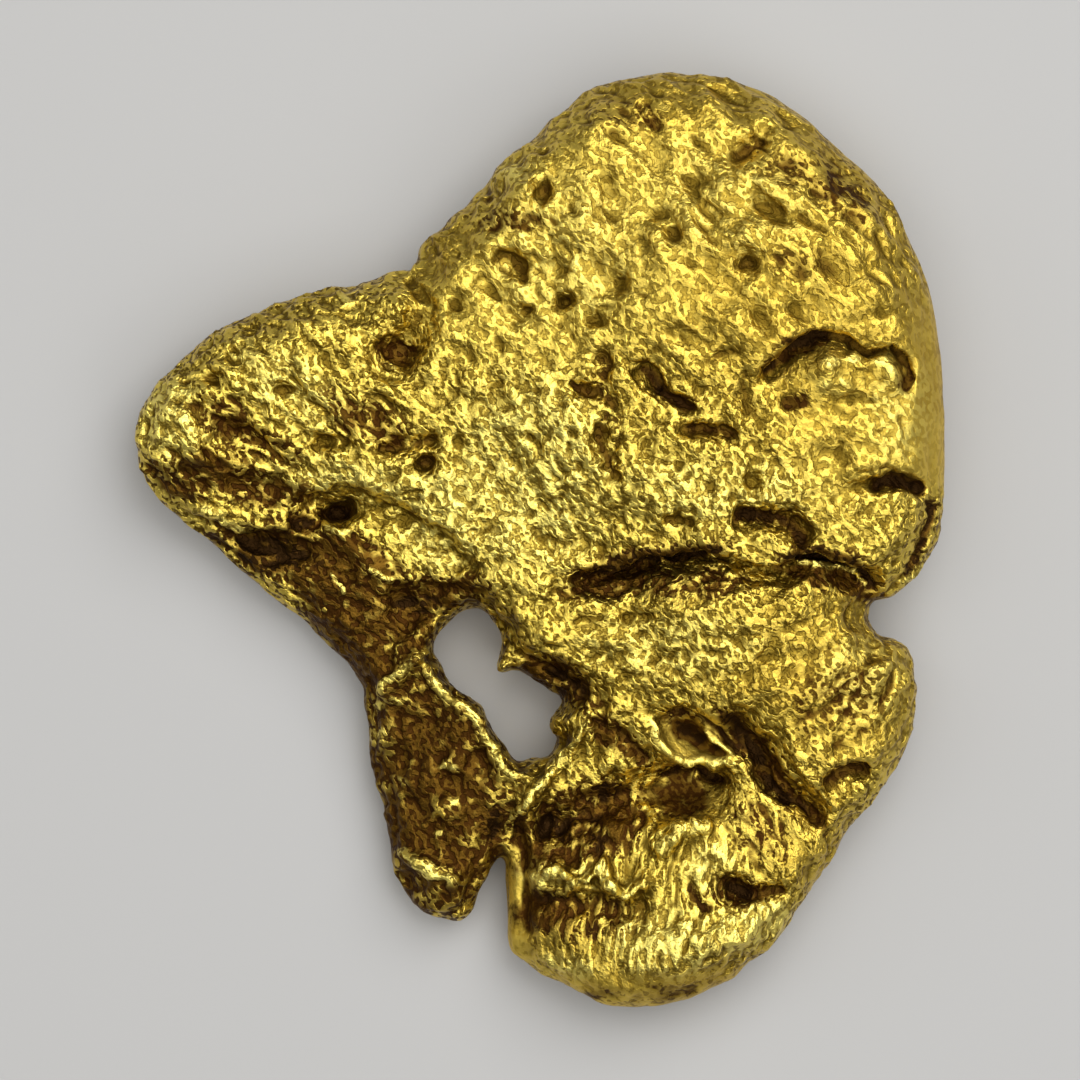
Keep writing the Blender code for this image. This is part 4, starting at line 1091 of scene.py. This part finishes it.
class OBJECT_OT_nugget_surface(bpy.types.Operator):
    """Works the nugget's fine surface on a copy of its plain solid and gives it its finish"""

    bl_idname = "object.nugget_surface"
    bl_label = "Nugget surface"

    def execute(self, context):
        settings = context.scene.nugget_surface
        piece = copy_of_node(NODE)
        piece.name = "nugget_surface"
        remesh = piece.modifiers.new("fine faces", "REMESH")
        remesh.mode = "VOXEL"
        remesh.voxel_size = settings.mesh_size
        apply_modifier(piece, remesh)
        soften = piece.modifiers.new("soften", "SMOOTH")
        soften.iterations = settings.softening
        apply_modifier(piece, soften)
        make_surface(piece, settings)
        store(piece.data, "hollow", depth_below(piece, HOLLOW_BLUR, HOLLOW_DEPTH))
        store(piece.data, "gap", depth_below(piece, GAP_BLUR, GAP_DEPTH))
        mark_colours(piece)
        thin_underside(piece, settings.underside_share)
        thin_to(piece, settings.most_triangles)
        scale_mesh(piece, 1 / MM_PER_M)
        piece.data.materials.clear()
        piece.data.materials.append(native_gold(context.scene.nugget_finish))
        bpy.ops.object.shade_smooth()
        deselect_all()
        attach(piece, BODY)
        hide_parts(NODE)
        return {"FINISHED"}


def softbox(name, place, size, power):
    """A square area light at a place, facing the nugget."""
    data = bpy.data.lights.new(name, "AREA")
    data.size = size
    data.energy = power
    light = bpy.data.objects.new(name, data)
    bpy.context.scene.collection.objects.link(light)
    light.location = place
    light.rotation_euler = (-Vector(place)).to_track_quat("-Z", "Y").to_euler()


def place_camera(studio):
    """Straight above the nugget, its picture as wide as asked at the rim's height."""
    data = bpy.data.cameras.new("camera")
    data.lens = studio.lens
    distance = studio.view_width * studio.lens / data.sensor_width
    camera = bpy.data.objects.new("camera", data)
    camera.location = (0, 0, RIM_HEIGHT + distance)
    data.clip_start = distance / CLIP_RANGE
    data.clip_end = distance * CLIP_RANGE
    bpy.context.scene.collection.objects.link(camera)
    bpy.context.scene.camera = camera


class OBJECT_OT_nugget_stage(bpy.types.Operator):
    """Sets the pale floor, the soft lights and the camera straight above the nugget"""

    bl_idname = "object.nugget_stage"
    bl_label = "Nugget stage"

    def execute(self, context):
        studio = context.scene.nugget_studio
        deselect_all()
        bpy.ops.mesh.primitive_circle_add(vertices=FLOOR_SIDES, radius=studio.floor_radius, fill_type="NGON")
        floor = context.view_layer.objects.active
        floor.name = "floor"
        floor.data.materials.append(plain_material("pale floor", studio.floor_colour, FLOOR_ROUGHNESS))
        world = bpy.data.worlds.new("dim room")
        world.use_nodes = True
        background = world.node_tree.nodes["Background"]
        background.inputs["Color"].default_value = (1, 1, 1, 1)
        background.inputs["Strength"].default_value = studio.sky
        context.scene.world = world
        for name, (place, size) in SOFTBOXES.items():
            softbox(name, place, size, getattr(studio, f"{name}_power"))
        place_camera(studio)
        context.scene.view_settings.view_transform = "Standard"
        deselect_all()
        return {"FINISHED"}


class VIEW3D_PT_nugget(bpy.types.Panel):
    """Lists the nugget's operators and settings"""

    bl_label = "Gold Nugget"
    bl_idname = "VIEW3D_PT_nugget"
    bl_space_type = "VIEW_3D"
    bl_region_type = "UI"
    bl_category = "Nugget"

    def draw(self, context):
        for name in SETTINGS:
            group = getattr(context.scene, name)
            for field in group.bl_rna.properties:
                if field.identifier not in ("name", "rna_type"):
                    self.layout.prop(group, field.identifier)
        self.layout.operator("object.nugget_surface")
        self.layout.operator("object.nugget_stage")


SETTINGS = {
    "nugget_surface": NuggetSurfaceSettings,
    "nugget_finish": NuggetFinishSettings,
    "nugget_studio": StudioSettings,
}
CLASSES = (*SETTINGS.values(), OBJECT_OT_nugget_surface, OBJECT_OT_nugget_stage, VIEW3D_PT_nugget)


def register():
    for cls in CLASSES:
        bpy.utils.register_class(cls)
    for name, cls in SETTINGS.items():
        setattr(bpy.types.Scene, name, bpy.props.PointerProperty(type=cls))


def unregister():
    for name in SETTINGS:
        delattr(bpy.types.Scene, name)
    for cls in reversed(CLASSES):
        bpy.utils.unregister_class(cls)


def main():
    register()
    deselect_all()
    bpy.ops.object.nugget_stage()
    bpy.ops.object.nugget_surface()


if __name__ == "__main__":
    main()
